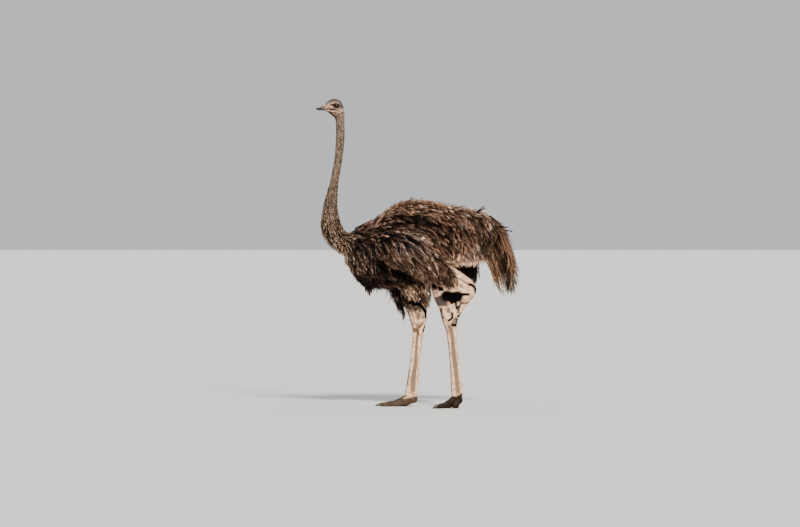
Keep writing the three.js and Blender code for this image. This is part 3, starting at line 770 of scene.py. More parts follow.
BANDS = {  # the brown band down each shank: heights, where it starts and ends from front to back
    LEFT: ([0.17, 0.32, 0.425, 0.506], [0.41, 0.27, 0.38, 0.23], [0.79, 0.79, 0.79, 0.64]),
    RIGHT: ([0.10, 0.17, 0.27, 0.425], [0.43, 0.29, 0.42, 0.34], [0.80, 0.74, 0.77, 0.60]),
}
SPOTS = {  # brown ovals on each leg: x and height of the middle, and half sizes
    LEFT: [(186, 598, 15, 20), (142, 598, 9, 24), (224, 527, 13, 22)],
    RIGHT: [(1, 558, 14, 26), (-15, 598, 12, 8), (29, 550, 6, 13)],
}
FOOT_TOP, FOOT_EDGE = 46 * MM, 16 * MM  # height up to which a foot is dark, and how far that fades
# The left foot is a little darker than the right, as painted shade.
FOOT_DARKNESS = {LEFT: 1.0, RIGHT: 0.93}
HEEL = {LEFT: 40 * MM, RIGHT: 12 * MM}  # how much higher the dark reaches at the heel than in front

CROWN_EDGE = MM * np.array([
    (-600, 1868), (-578, 1864), (-555, 1867), (-536, 1872), (-510, 1878), (-494, 1876), (-485, 1864),
    (-479, 1848), (-471, 1832),
])
EYE_CORNER = [(-534, 1860), (-526, 1858), (-517, 1856)]  # painted shadow before the eye, at its front corner
# Lines of painted shade in the creases of the face and under the jaw and throat.
FACE_SHADE_LINES = [  # darkness, half width and path
    (0.85, 5.5, [(-550, 1818), (-524, 1799), (-509, 1780), (-502, 1752)]),  # front of the throat
    (0.7, 5.5, [(-586, 1836), (-580, 1841), (-572, 1847)]),  # corner of the bill
    (1.0, 4.0, [(-572, 1832), (-550, 1834), (-531, 1833), (-512, 1829), (-490, 1823)]),  # gape
    (0.6, 3.0, [(-497, 1836), (-484, 1833), (-474, 1840)]),  # behind the eye
    (0.5, 3.0, [(-540, 1815), (-522, 1811), (-508, 1808)]),  # below the jaw
    (0.8, 5.0, [(-510, 1789), (-497, 1793), (-484, 1800)]),  # throat
    (0.5, 4.0, [(-566, 1856), (-552, 1846), (-540, 1842)]),  # before the eye
]


def face_shade_lines(x, z):
    """Painted shade in the creases of the face and under the jaw and throat."""
    return np.max([darkness * crease(x, z, path, width) for darkness, width, path in FACE_SHADE_LINES], axis=0)


def crown_share(x, z):
    """1 on the top and back of the head, above a line from the bill over the eye to the nape."""
    above = z - np.interp(x, *CROWN_EDGE.T)
    return smooth(-3 * MM, 4 * MM, above)


hide_points = points_of(skin)
x, y, z = hide_points.T
ahead = x < -0.4
face, neck = smooth(1.775, 1.80, z) * ahead, smooth(1.08, 1.22, z) * ahead
crown = face * crown_share(x, z)
# dark: painted shade in the hollow creases of the face, before the eye, in the ear and along the lines of
# shade, and darker round the eye's opening.
dark = sum(smooth(0, -3, height) * 0.9 * crease(x, z, path, 1.2 * width) for height, width, path in CREASES)
dark = dark + smooth(1.35, 1.0, lid_share(x, z)) * (z > 1.8) + crease(x, z, EYE_CORNER, 6)
dark = dark + 0.7 * smooth(2.2, 1.2, np.hypot(x - EAR["x"], z - EAR["z"]) / EAR["radius"])
dark = np.maximum(dark * face, face * face_shade_lines(x, z))
leg, brown, ashen, foot = 0 * x, 0 * x, 0 * x, 0 * x
for side in (LEFT, RIGHT):
    bare, share, seen = on_leg(hide_points, side)
    own_side = np.sign(y) == side
    bare = bare * own_side
    leg = np.maximum(leg, bare)
    # Painted shade of the folds, laid only on the half of each leg that faces the camera.
    for _, width, darkness, path in FOLDS[side]:
        if darkness:
            line = smooth(0.05, 0.50, crease(x, z, path, 1.3 * width, 0.1))
            dark = np.maximum(dark, bare * seen * darkness * line)
    levels, starts, ends = BANDS[side]
    start, end = np.interp(z, levels, starts), np.interp(z, levels, ends)
    band = smooth(start - 0.04, start + 0.03, share) * smooth(end + 0.04, end - 0.03, share)
    brown = np.maximum(brown, bare * band * smooth(0.075, 0.10, z) * smooth(0.53, 0.50, z))
    for spot in SPOTS[side]:
        brown = np.maximum(brown, bare * seen * smooth(0.3, 0.6, blot(hide_points, *spot)))
    # Painted shade down the front of the shank.
    dark = np.maximum(dark, bare * shank_front_shade(hide_points, side))
    if side == LEFT:
        # Painted shadow on the front of the left thigh.
        ashen = bare * seen * ashen_share(hide_points)
    above_foot = z - HEEL[side] * np.clip(share, 0, 1) - FOOT_TOP
    foot = np.maximum(foot, FOOT_DARKNESS[side] * own_side * smooth(FOOT_EDGE, 0.0, above_foot))
keep(skin, face=face, neck=neck, dark=np.clip(1.12 * dark, 0, 1), crown=crown,
     leg=np.clip(leg + (z < 0.1), 0, 1), brown=brown, ashen=ashen, foot=foot)

hide = Finish("hide", roughness=0.62, specular_ior_level=0.03)
blotch, fine = hide.noise(42, 4), hide.noise(420, 4)
mottle = hide.between(hide.noise(105, 3), 0.40, 0.60)
face_share, leg_share, foot_share = hide.attribute("face"), hide.attribute("leg"), hide.attribute("foot")
tint = hide.mix(mottle, (0.13, 0.088, 0.060), (0.27, 0.20, 0.145))
# The skin under the coat of the trunk and lower neck is near black, as painted shade in the gaps between the
# feathers.
tint = hide.mix(hide.attribute("neck"), (0.012, 0.009, 0.007), tint)
tint = hide.mix(face_share, tint, hide.mix(mottle, (0.22, 0.135, 0.09), (0.50, 0.33, 0.23)))
tint = hide.mix(hide.attribute("crown"), tint, hide.mix(mottle, (0.045, 0.040, 0.038), (0.21, 0.19, 0.175)))
pale = hide.mix(hide.between(blotch, 0.36, 0.62), (0.60, 0.33, 0.19), (0.98, 0.685, 0.45))
scale_lines = hide.cells(210, (1, 1, 1.35))
tint = hide.mix(leg_share, tint, pale)
brown_share = hide.attribute("brown") * (0.72 + 0.28 * hide.between(blotch, 0.30, 0.60))
tint = hide.mix(brown_share * 0.9, tint, (0.105, 0.066, 0.045))
# Painted shadow on the left thigh, in dark grey.
tint = hide.mix(hide.attribute("ashen") * 0.95, tint, (0.030, 0.027, 0.028))
tint = hide.mix(foot_share, tint, hide.mix(fine, (0.005, 0.0035, 0.0025), (0.034, 0.022, 0.015)))
gaps = (1 - hide.between(scale_lines, 0.0, 0.12)) * leg_share * (1 - foot_share)
tint = hide.mix(gaps * 0.35, tint, (0.12, 0.085, 0.065))
# Painted shade in the creases of the face, the folds of the legs and down the front of each shank, with some
# dark marks of the leg skin.
tint = hide.mix(hide.attribute("dark"), tint, (0.0014, 0.0009, 0.0007))
wrinkles = hide.noise(260, 5, (1, 1, 2.2)) * face_share
relief = hide.between(scale_lines, 0.0, 0.2) * leg_share + wrinkles * 1.2 + fine * 0.5
hands = {LEFT: "left", RIGHT: "right"}
paired = ("wing", "flank", "drumstick", "shank", "toe_inner", "toe_outer")


def fitted(piece, finish=None, nodes=()):
    """Smooths a piece, gives it its finish, fixes it to the body and lets it stand for some nodes."""
    piece.data.shade_smooth()
    if finish:
        piece.data.materials.append(finish)
    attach(piece, "root")
    if nodes:
        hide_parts(*nodes)
    return piece


skin.data.materials.clear()
fitted(skin, hide.done(tint, relief, 0.9 * MM),
       ["trunk", "neck_base", "neck_shaft", "head", "tail",
        *[f"{part}_{hand}" for part in paired for hand in hands.values()]])

# -------------------------------------------------------------- the eyes
# Large dark balls under heavy lids, with a clear bulge over a wide pupil and a dark brown iris.
# Each is a ball with its pole towards the outside, and rings that follow iris and pupil.
IRIS, PUPIL = 13.5 * MM, 7.0 * MM
CORNEA = 1.6 * MM
EYE_RINGS, EYE_SIDES = 48, 64
POLE = 0.02  # angle of the first ring
PACKING = 0.15  # how much closer together the rings lie round the pole

eye = Finish("eye", roughness=0.25, specular_ior_level=0.04, coat_weight=0.2, coat_roughness=0.03)
from_pole = eye.attribute("from_pole")
threads = eye.noise(900, 3)
iris_colour = eye.mix(threads, (0.012, 0.006, 0.004), (0.034, 0.016, 0.009))
eye_colour = eye.mix(eye.between(from_pole, PUPIL * 0.96, PUPIL * 1.04), (0.002, 0.002, 0.002), iris_colour)
eye_colour = eye.mix(eye.between(from_pole, IRIS * 0.95, IRIS * 1.05), eye_colour, (0.02, 0.012, 0.010))
eye_finish = eye.done(eye_colour)
for side in (LEFT, RIGHT):
    polar = np.linspace(POLE, math.pi - POLE, EYE_RINGS) ** (1 + PACKING) / math.pi**PACKING
    polar, turn = grid(polar, EYE_SIDES)
    out = EYE_RADIUS * np.cos(polar)
    wide = EYE_RADIUS * np.sin(polar)
    out = out + CORNEA * np.exp(-((wide / (IRIS * 0.85)) ** 4)) * (np.cos(polar) > 0)
    centre = EYE * np.array([1, side, 1])
    ball = np.stack([wide * np.cos(turn), side * out, wide * np.sin(turn)], -1) + centre
    piece = closed_mesh(f"eyeball_{hands[side]}", ball)
    x, y, z = (points_of(piece) - centre).T
    keep(piece, from_pole=np.where(y * side > 0, np.hypot(x, z), 1.0))
    fitted(piece, eye_finish, [f"eye_{hands[side]}"])

# -------------------------------------------------------------- the bill
# Horn in two halves that meet along a dark edge: the upper is broad and flat with a low ridge, a long soft
# nostril on each side and a nail at its tip, and the lower is a shallow spade under it.
UPPER_BILL = MM * np.array([  # x, top, bottom, half width
    [-572, 1861, 1831.5, 21],
    [-588, 1856.2, 1832.4, 22.3],
    [-602, 1849, 1832.2, 20.6],
    [-614, 1844.6, 1832, 17.3],
    [-623, 1840.2, 1831.4, 12.3],
    [-627, 1836, 1831, 7.4],
    [-628, 1834, 1831.3, 3.5],
])
LOWER_BILL = MM * np.array([
    [-568, 1831.4, 1825.5, 19],
    [-580, 1831.3, 1824.6, 20.5],
    [-592, 1831.2, 1824.4, 19.8],
    [-606, 1831.1, 1825.6, 16.8],
    [-617, 1831, 1826.6, 12.6],
    [-623, 1830.7, 1828, 7.8],
    [-624.5, 1830.4, 1829, 3.5],
])
NOSTRIL = MM * np.array([-599, 1842])
NAIL = -611 * MM
RIDGE, NAIL_HEIGHT, LIP = 0.9 * MM, 0.7 * MM, 0.5 * MM
NOSTRIL_DEPTH, NOSTRIL_RIM = 4.5 * MM, 1.0 * MM
BILL_STATIONS, BILL_SIDES = 84, 72


def nostril(x, z, long, tall):
    """1 in a long oval on the nostril, of the given half sizes in millimetres."""
    return np.exp(-(((x - NOSTRIL[0]) / (long * MM)) ** 4) - ((z - NOSTRIL[1]) / (tall * MM)) ** 4)


def bill_points(table, lower):
    """Rings of half a bill, from its root to its tip."""
    rows, turn = grid(np.linspace(0, len(table) - 1, BILL_STATIONS), BILL_SIDES)
    x, top, bottom, wide = np.moveaxis(spline(table, rows), -1, 0)
    edge = top if lower else bottom
    tall = np.where(np.sin(turn) > 0, top - edge, edge - bottom)
    flat = 0.7 * MM * np.sin(turn) * ((np.sin(turn) > 0) if lower else (np.sin(turn) < 0))
    y = wide * squared(np.cos(turn), 0.9)
    z = edge + tall * squared(np.sin(turn), 0.85) + flat
    if not lower:
        across = np.abs(y) / wide
        ridge = RIDGE * np.exp(-((across / 0.20) ** 2)) - RIDGE * np.exp(-(((across - 0.42) / 0.16) ** 2))
        slit, rim = nostril(x, z, 7.5, 1.7), nostril(x, z, 9.5, 3.6)
        nail = smooth(NAIL + 2 * MM + 40 * np.abs(y) ** 2, NAIL - 1 * MM, x)
        above = np.sin(turn) > 0.1
        z = z + above * (ridge * smooth(-576 * MM, -586 * MM, x) * (1 - nail) + NAIL_HEIGHT * nail)
        y = y + np.sign(y) * above * (NOSTRIL_RIM * rim - NOSTRIL_DEPTH * slit)
        notch = np.exp(-(((across - 0.80) / 0.30) ** 2)) * smooth(1.0, 0.0, rows)
        x = x - above * 11 * MM * notch
        lip = np.exp(-(((z - edge - 1.2 * MM) / (1.2 * MM)) ** 2))
        y = y + np.sign(y) * LIP * lip
    return np.stack([x, y, z], -1)


horn = Finish("horn", roughness=0.42)
grain = horn.noise(320, 4, (0.25, 1, 1))
horn_colour = horn.mix(grain, (0.15, 0.125, 0.118), (0.36, 0.31, 0.29))
horn_colour = horn.mix(horn.attribute("dark"), horn_colour, (0.005, 0.005, 0.006))
horn_finish = horn.done(horn_colour, grain, 0.4 * MM)
for name, table, lower, node in (("bill_top", UPPER_BILL, False, "bill_upper"),
                                 ("bill_bottom", LOWER_BILL, True, "bill_lower")):
    piece = closed_mesh(name, bill_points(table, lower))
    x, y, z = points_of(piece).T
    edge = smooth(1843 * MM, 1838 * MM, z)
    base = 0.85 * smooth(-594 * MM, -582 * MM, x + 0.25 * np.abs(y))
    tip = 0.8 * smooth(-617 * MM, -625 * MM, x)
    # The nostril's slit is darkened as painted shade in its hollow.
    keep(piece, dark=np.clip(edge + nostril(x, z, 8, 2) + base + tip, 0, 1) * 0.97)
    fitted(piece, horn_finish, [node])

# ------------------------------------------------------------- the claws
# One thick blunt claw on each big toe, worn flat below, of layered dark horn.
CLAW = MM * np.array([  # distance from the toe's joint, height of the middle, half height, half width
    [168, 15, 6, 8],
    [176, 15, 8.5, 11],
    [192, 13.5, 8.7, 10],
    [206, 9.5, 7, 7.5],
    [215, 6.4, 5, 5],
    [220.5, 4.6, 3, 3],
    [222, 4.0, 1.2, 1.2],
])
claw = Finish("claw", roughness=0.5, specular_ior_level=0.2)
layers = claw.noise(300, 4, (0.3, 0.3, 1.6))
claw_finish = claw.done(claw.mix(layers, (0.022, 0.017, 0.013), (0.12, 0.092, 0.070)), layers, 1.0 * MM)
CLAW_RINGS, CLAW_SIDES = 60, 40
for side in (LEFT, RIGHT):
    distances, angles = grid(np.linspace(CLAW[0, 0], CLAW[-1, 0], CLAW_RINGS), CLAW_SIDES)
    rings = toe_points(CLAW, FEET[side]["joint"], FEET[side]["inner"], distances, angles)
    fitted(closed_mesh(f"big_claw_{hands[side]}", rings), claw_finish, [f"claw_{hands[side]}"])

# ------------------------------------------------ the scutes of the legs
# Broad horny plates that overlap like tiles: a row down the front of each shank and one over each toe.
# Each is a thin closed shell on the leg's own surface, thicker at its lower edge.
PLATE_COLUMNS, PLATE_ROWS = 11, 4
OVERLAP = 0.18  # of a plate's length
SUNK, BURIED_DEPTH = 0.2 * MM, 1.6 * MM  # how far a plate's rim and its underside lie in the skin


def plates(name, surface, stations, middle, reach, thick, finish):
    """A row of plates over surface(places, angles, grow), with their ends at stations, from the top down.

    middle and reach are the angle of the plates' middle and how far they reach from it to either side.
    """
    number = np.arange(PLATE_ROWS * PLATE_COLUMNS).reshape(PLATE_ROWS, PLATE_COLUMNS)
    top = np.stack([number[:-1, :-1], number[:-1, 1:], number[1:, 1:], number[1:, :-1]], -1).reshape(-1, 4)
    rim = np.concatenate([number[0], number[1:, -1], number[-1, -2::-1], number[-2:0:-1, 0]])
    ahead, size = np.roll(rim, -1), number.size
    edge = np.stack([ahead, rim, rim + size, ahead + size], 1)
    plate = np.concatenate([top, top[:, ::-1] + size, edge])
    across, along = np.linspace(-1, 1, PLATE_COLUMNS), np.linspace(0, 1, PLATE_ROWS)
    bulge = (1 - np.abs(across) ** 3)[None] * (0.25 + 0.75 * along[:, None])
    sheets = []
    for first, last in zip(stations, stations[1:]):
        length = last + (last - first) * OVERLAP - first
        places, turns = np.meshgrid(first + length * along, middle + across * reach, indexing="ij")
        sheets.append(surface(places, turns, thick * bulge - SUNK).reshape(-1, 3))
        sheets.append(surface(places, turns, np.full_like(places, -BURIED_DEPTH)).reshape(-1, 3))
    faces = np.concatenate([plate + 2 * size * index for index in range(len(stations) - 1)])
    mesh = bpy.data.meshes.new(name)
    mesh.from_pydata(np.concatenate(sheets).tolist(), [], faces.tolist())
    face = mesh.polygons[(PLATE_ROWS - 1) * (PLATE_COLUMNS - 1) // 2]
    if (face.center - Vector(sheets[1].mean(0))).dot(face.normal) < 0:
        mesh.flip_normals()
    return fitted(placed(name, mesh), finish)


scute = Finish("shank scutes", roughness=0.5, specular_ior_level=0.15)
wear = scute.noise(90, 4)
scute_colour = scute.mix(scute.between(wear, 0.3, 0.7), (0.28, 0.185, 0.125), (0.62, 0.45, 0.33))
scute_colour = scute.mix(scute.attribute("dark"), scute_colour, (0.010, 0.007, 0.005))
shank_finish = scute.done(scute_colour, scute.noise(500, 3), 0.4 * MM)
toe_scute = Finish("toe scutes", roughness=0.55, specular_ior_level=0.08)
wear = toe_scute.noise(120, 4)
toe_colour = toe_scute.mix(toe_scute.between(wear, 0.3, 0.7), (0.007, 0.005, 0.004), (0.050, 0.034, 0.024))
toe_finish = toe_scute.done(toe_colour, toe_scute.noise(400, 3), 0.5 * MM)
SHANK_STATIONS = np.linspace(0.455, 0.078, 37)
TOE_PLATES = {  # the toe's own stations, and those of its plates
    "inner": (INNER_TOE, np.linspace(0.010, 0.172, 19)),
    "outer": (OUTER_TOE, np.linspace(0.022, 0.106, 11)),
}
for side in (LEFT, RIGHT):
    hand, foot = hands[side], FEET[side]
    piece = plates(f"shank_scutes_{hand}", partial(leg_points, side), SHANK_STATIONS, math.pi, 0.62, 1.0 * MM,
                   shank_finish)
    # Painted shade down the front of the shank, on its scutes too.
    keep(piece, dark=shank_front_shade(points_of(piece), side))
    for toe, (table, stations) in TOE_PLATES.items():
        over = partial(toe_points, table, foot["joint"], foot[toe])
        plates(f"toe_scutes_{toe}_{hand}", over, stations, 0.0, 0.95, 1.3 * MM, toe_finish)

# ---------------------------------------------------------- body plumage
# Loose shaggy plumes of a hen: a thin shaft with limp barbs down both sides, dark at the root and buff at
# the tip, partly as painted shade and highlight. They grow from the hide in staggered rows, lie backwards
# and hang free where the body turns under.
skin_tree = BVHTree.FromPolygons([v.co for v in skin.data.vertices], [p.vertices for p in skin.data.polygons])
LIES = np.array([  # x and z in millimetres, and the lie there in degrees below straight back
    [-470, 1160, 68],
    [-425, 1065, 45],
    [-520, 1010, 74],
    [-440, 900, 72],
    [-330, 880, 66],
    [-260, 760, 58],
    [-330, 1105, -24],
    [-220, 1190, -22],
    [-180, 1110, 5],
    [-60, 1262, 0],
    [0, 1180, 20],
    [160, 1240, 16],
    [160, 1130, 46],
    [280, 1200, 36],
    [280, 1060, 74],
    [420, 1140, 62],
    [440, 1000, 80],
    [280, 930, 84],
    [0, 780, 14],
    [200, 830, 34],
    [-200, 950, 50],
])
LIE_REACH = 0.085  # how far each of those lies is felt
FAN_OUT, SAG = 0.30, 0.12  # how much plumes of the back turn outwards, and all of them down
SHAFT_STEPS = 8
PULL, WEIGHT = 0.5, 0.10  # how much the lie, and the shaft's own weight, turn it at each step


def lie(points, normals):
    """The direction in which the body plumage lies at points on the hide."""
    away = np.hypot(points[:, None, 0] - LIES[:, 0] * MM, points[:, None, 2] - LIES[:, 1] * MM)
    weight = np.exp(-((away / LIE_REACH) ** 2)) + 1e-9
    angle = np.radians(LIES[:, 2])
    back = (weight * np.cos(angle)).sum(1) / weight.sum(1)
    down = (weight * np.sin(angle)).sum(1) / weight.sum(1)
    spread = FAN_OUT * np.clip(points[:, 1] / 0.1, -1, 1) * smooth(0.5, 0.9, normals[:, 2])
    return level(np.stack([back, spread, -down - SAG], 1), normals)


def level(directions, normals):
    """Directions laid flat on the hide, or made square to anything else."""
    return unit(directions - (directions * normals).sum(-1, keepdims=True) * normals)


def ripple(points, size, seed):
    """A smooth random value from -1 to 1 that changes over about the given size."""
    turns = np.random.default_rng(seed).normal(size=(3, 3, 4)) / size
    total = sum(np.sin(points @ turns[:, :, step] + seed + step).prod(-1) for step in range(4))
    return np.clip(total * 0.9, -1, 1)


def nearest_skin(points):
    """The nearest points of the skin, and the directions out of it there."""
    found = [skin_tree.find_nearest(Vector(point)) for point in points]
    return np.array([f[0] for f in found]), np.array([f[1] for f in found])


def march(roots, normals, first, lengths, low, high, hang, follow):
    """Shafts that start at roots and run over the hide.

    They leave in the direction first, and rise from low to high over the hide. hang is how much of each
    length, from the tip, is free of the hide. Gives the points of each shaft and the outward directions.
    """
    points, ups = [roots + normals * low], [normals]
    bearing = first
    down = np.array([0, 0, -1.0])
    step_length = (lengths / (SHAFT_STEPS - 1))[:, None]
    for step in range(1, SHAFT_STEPS):
        share = step / (SHAFT_STEPS - 1)
        ahead = points[-1] + bearing * step_length
        surface, outward = nearest_skin(ahead)
        height = ((ahead - surface) * outward).sum(1)
        wanted = low + (high - low) * share**1.15
        loose = smooth(1 - hang, 1 - hang + 0.35, share) * (hang > 0)
        lift = np.where(height < wanted, wanted - height, (wanted - height) * (1 - loose))
        moved = unit(ahead + outward * lift[:, None] - points[-1])
        steer = follow(surface, outward) * (1 - loose)[:, None] + down * loose[:, None]
        bearing = unit(moved + PULL * steer + down * (WEIGHT + 0.5 * loose)[:, None])
        points.append(points[-1] + moved * step_length)
        blend = unit(ups[-1] * loose[:, None] + outward * (1 - loose)[:, None])
        ups.append(level(blend, moved))
    return np.stack(points, 1), np.stack(ups, 1)


class Coat:
    """Collects feathers as arrays of thin closed strands, and makes them one mesh."""

    def __init__(self):
        self.vertices, self.faces, self.maps, self.values = [], [], [], []
        self.count = 0

    def strands(self, centres, outward, widths, thick, reach, tone, look):
        """Adds strands. Each array is feathers by strands by rings, the last of which is the strand's tip.

        reach is 0 at a plume's root and 1 at its tip. look holds each feather's warmth, paleness and place on
        the map.
        """
        feathers, many, stations, _ = centres.shape
        rings = stations - 1
        run = unit(np.gradient(centres, axis=2))[:, :, :rings]
        side = unit(np.cross(run, outward[:, :, :rings]))
        top = np.cross(side, run)
        middle = centres[:, :, :rings]
        half, high = widths[..., :rings, None] / 2, thick[..., :rings, None]
        corners = np.stack([middle + side * half - top * high / 3,
                            middle + top * high * 2 / 3,
                            middle - side * half - top * high / 3], 3)
        solid = np.concatenate([corners.reshape(feathers, many, rings * 3, 3), centres[:, :, rings:]], 2)
        faces = [[0, 1, 2]]
        for r in range(rings - 1):
            for s in range(3):
                a, b = 3 * r + s, 3 * r + (s + 1) % 3
                faces += [[a, a + 3, b], [b, a + 3, b + 3]]
        for s in range(3):
            faces.append([3 * rings - 3 + s, 3 * rings, 3 * rings - 3 + (s + 1) % 3])
        per = rings * 3 + 1
        base = self.count + np.arange(feathers * many) * per
        self.faces.append((base[:, None, None] + np.array(faces)).reshape(-1, 3))
        self.vertices.append(solid.reshape(-1, 3))
        self.count += feathers * many * per
        ring_of = np.append(np.repeat(np.arange(rings), 3), rings)
        shape = (feathers, many, per)
        along = np.broadcast_to(reach[..., ring_of], shape)
        columns = [along, np.broadcast_to(tone[..., None], shape)]
        columns += [np.broadcast_to(look[label][:, None, None], shape) for label in ("warmth", "paleness")]
        self.values.append(np.stack(columns, -1).reshape(-1, 4))
        across = (np.arange(many)[:, None] + np.append(np.tile([0.2, 0.5, 0.8], rings), 0.5)) / many
        patch = np.stack([np.broadcast_to(across, shape), along / 1.2], -1) * PATCH
        self.maps.append((look["map"][:, None, None] + patch).reshape(-1, 2))

    def piece(self, name, finish, slot):
        vertices, faces = np.concatenate(self.vertices), np.concatenate(self.faces)
        mesh = bpy.data.meshes.new(name)
        mesh.vertices.add(len(vertices))
        mesh.vertices.foreach_set("co", vertices.astype(np.float32).ravel())
        mesh.loops.add(faces.size)
        mesh.loops.foreach_set("vertex_index", faces.astype(np.int32).ravel())
        mesh.polygons.add(len(faces))
        mesh.polygons.foreach_set("loop_start", np.arange(0, faces.size, 3, dtype=np.int32))
        mesh.update(calc_edges=True)
        layer = mesh.uv_layers.new(name="OFBake")
        layer.uv.foreach_set("vector", np.concatenate(self.maps)[faces.ravel()].astype(np.float32).ravel())
        piece = placed(name, mesh)
        reach, tone, warmth, paleness = np.concatenate(self.values).T
        keep(piece, reach=reach, tone=tone, warmth=warmth, paleness=paleness)
        fitted(piece, finish)


PATCH = 0.003  # the size of each feather's patch on the coat's map


def on_map(across, up):
    """Places of feathers on the coat's map, given as shares of its width and height."""
    return np.stack([across, up], 1) * (1 - 2 * PATCH)


def plumes(coat, shafts, ups, lengths, look, rng, bundles=9, spread=0.34, width=2.4 * MM, open_angle=34,
           droop=0.15, woolly=34, curl=0.18, roll=0.30, bend=0.10, shaft_tone=1.0, shaft_width=2.0 * MM,
           vary=0.65):
    """Adds a plume along each shaft: bundles of three barbs down both sides of it, and the shaft itself.

    spread is the longest barbs' share of the plume's length. Barbs open by open_angle, stray by woolly, sag
    by droop and lift by curl. roll turns a plume over, bend bows it, and vary is how much its tones differ.
    """
    many, steps, _ = shafts.shape
    runs = unit(np.gradient(shafts, axis=1))
    across = unit(np.cross(ups, runs))
    turn = rng.normal(0, roll, (many, 1, 1))
    across, raised = across * np.cos(turn) + ups * np.sin(turn), ups * np.cos(turn) - across * np.sin(turn)
    sway = (rng.normal(0, bend, many) * lengths)[:, None, None]

    def place(along, aside, height):
        """Points over the sheet that a plume spreads out: share of the shaft, and metres aside and above."""
        spot = along * (steps - 1)
        start = np.clip(np.floor(spot).astype(int), 0, steps - 2)
        share = (spot - start)[..., None]
        level_share = np.clip(share, 0, 1)
        row = np.arange(many)[:, None, None]
        centre = shafts[row, start] * (1 - share) + shafts[row, start + 1] * share
        side = across[row, start] * (1 - level_share) + across[row, start + 1] * level_share
        top = raised[row, start] * (1 - level_share) + raised[row, start + 1] * level_share
        return centre + side * (aside + sway * along**2)[..., None] + top * height[..., None], top

    barbs = 3 * bundles
    shape, bundle_shape = (many, barbs), (many, bundles)
    bundle = lambda values: np.repeat(values, 3, axis=1)
    start = bundle(np.linspace(0.06, 0.84, bundles)[None] + rng.uniform(-0.04, 0.04, bundle_shape))
    start = start + np.tile([-0.035, 0, 0.035], bundles) + rng.uniform(-0.01, 0.01, shape)
    hand = bundle(np.where(np.arange(bundles) % 2, 1.0, -1.0)[None] * np.ones(bundle_shape))
    hand[:, -3:] = np.array([-0.5, 0.1, 0.6])
    reach = lengths[:, None] * spread * (1.1 - 0.5 * start) * bundle(rng.uniform(0.7, 1.15, bundle_shape))
    reach = reach * rng.uniform(0.85, 1.1, shape)
    opening = np.radians(open_angle) * bundle(rng.uniform(0.75, 1.25, bundle_shape))
    opening = opening * rng.uniform(0.85, 1.15, shape)
    closing = np.radians(bundle(rng.normal(-6, woolly, bundle_shape)) + rng.normal(0, 6, shape))
    closing = np.where(np.abs(closing - opening) < 0.05, opening - 0.05, closing)
    t = np.array([0, 0.45, 1.0])
    angle = opening[..., None] + (closing - opening)[..., None] * t
    ahead = (np.sin(angle) - np.sin(opening)[..., None]) / (closing - opening)[..., None]
    aside = (np.cos(opening)[..., None] - np.cos(angle)) / (closing - opening)[..., None]
    along = start[..., None] + reach[..., None] * ahead / lengths[:, None, None]
    aside = aside * (reach * hand)[..., None]
    lift = bundle(rng.normal(0, curl, bundle_shape))[..., None] * t
    lift = lift + bundle(rng.normal(0, curl, bundle_shape))[..., None] * t**2
    centres, top = place(along, aside, reach[..., None] * lift - 0.30 * np.abs(aside))
    centres[..., 2] -= droop * reach[..., None] * t**2
    widths = width * rng.uniform(0.75, 1.25, shape)[..., None] * np.array([0.65, 1, 0])
    thick = np.broadcast_to(1.0 * MM * np.array([0.8, 1, 0]), widths.shape)
    barb_tone = look["tone"][:, None] * bundle(rng.uniform(1 - vary, 1 + vary, bundle_shape))
    barb_tone = barb_tone * rng.uniform(0.85, 1.15, shape)
    coat.strands(centres, top, widths, thick, np.clip(along, 0, 1.2), barb_tone, look)
    along = np.broadcast_to(np.array([0, 0.3, 0.62, 0.96]), (many, 1, 4))
    centres, top = place(along, 0 * along, 0 * along + 0.8 * MM)
    widths = np.broadcast_to(shaft_width * np.array([1, 0.75, 0.5, 0]), along.shape)
    coat.strands(centres, top, widths, widths * 0.6, along, (look["tone"] * shaft_tone)[:, None], look)


ROW_STEPS, ROOT_STEP = 200, 0.01  # for measuring a stack of rings, and for its directions
JITTER = 0.4  # how far a root may lie from its place, as a share of their spacing


def sown(surface, span, spacing, row_count, rng, sides=96):
    """Staggered roots on a stack of rings, the directions out of it there, and their places on the map."""
    fine = np.linspace(*span, ROW_STEPS)
    middle = surface(fine, np.full(ROW_STEPS, math.pi / 2))
    length = np.append(0, np.cumsum(np.linalg.norm(np.diff(middle, axis=0), axis=1)))
    row_list, angle_list = [], []
    for distance in np.arange(spacing / 2, length[-1], spacing):
        turn = np.linspace(0, 2 * math.pi, sides)
        ring = surface(np.full(sides, np.interp(distance, length, fine)), turn)
        girth = np.append(0, np.cumsum(np.linalg.norm(np.diff(ring, axis=0), axis=1)))
        count = max(int(girth[-1] / spacing), 3)
        spots = np.arange(count) + rng.uniform(0, 1) + rng.uniform(-JITTER, JITTER, count)
        angle_list.append(np.interp(spots % count / count * girth[-1], girth, turn))
        shift = rng.uniform(-JITTER, JITTER, count) * spacing
        row_list.append(np.clip(np.interp(distance + shift, length, fine), *span))
    rows, angles = np.concatenate(row_list), np.concatenate(angle_list)
    roots = surface(rows, angles)
    along = surface(rows + ROOT_STEP, angles) - surface(rows - ROOT_STEP, angles)
    around = surface(rows, angles + ROOT_STEP) - surface(rows, angles - ROOT_STEP)
    normals = unit(np.cross(along, around))
    centre = surface(rows, 0 * angles) / 2 + surface(rows, 0 * angles + math.pi) / 2
    normals = normals * np.sign(((roots - centre) * normals).sum(1))[:, None]
    return roots, normals, on_map(rows / row_count, angles / (2 * math.pi))


BURIED = 4 * MM  # a root that lies deeper than this in another part of the body grows nothing


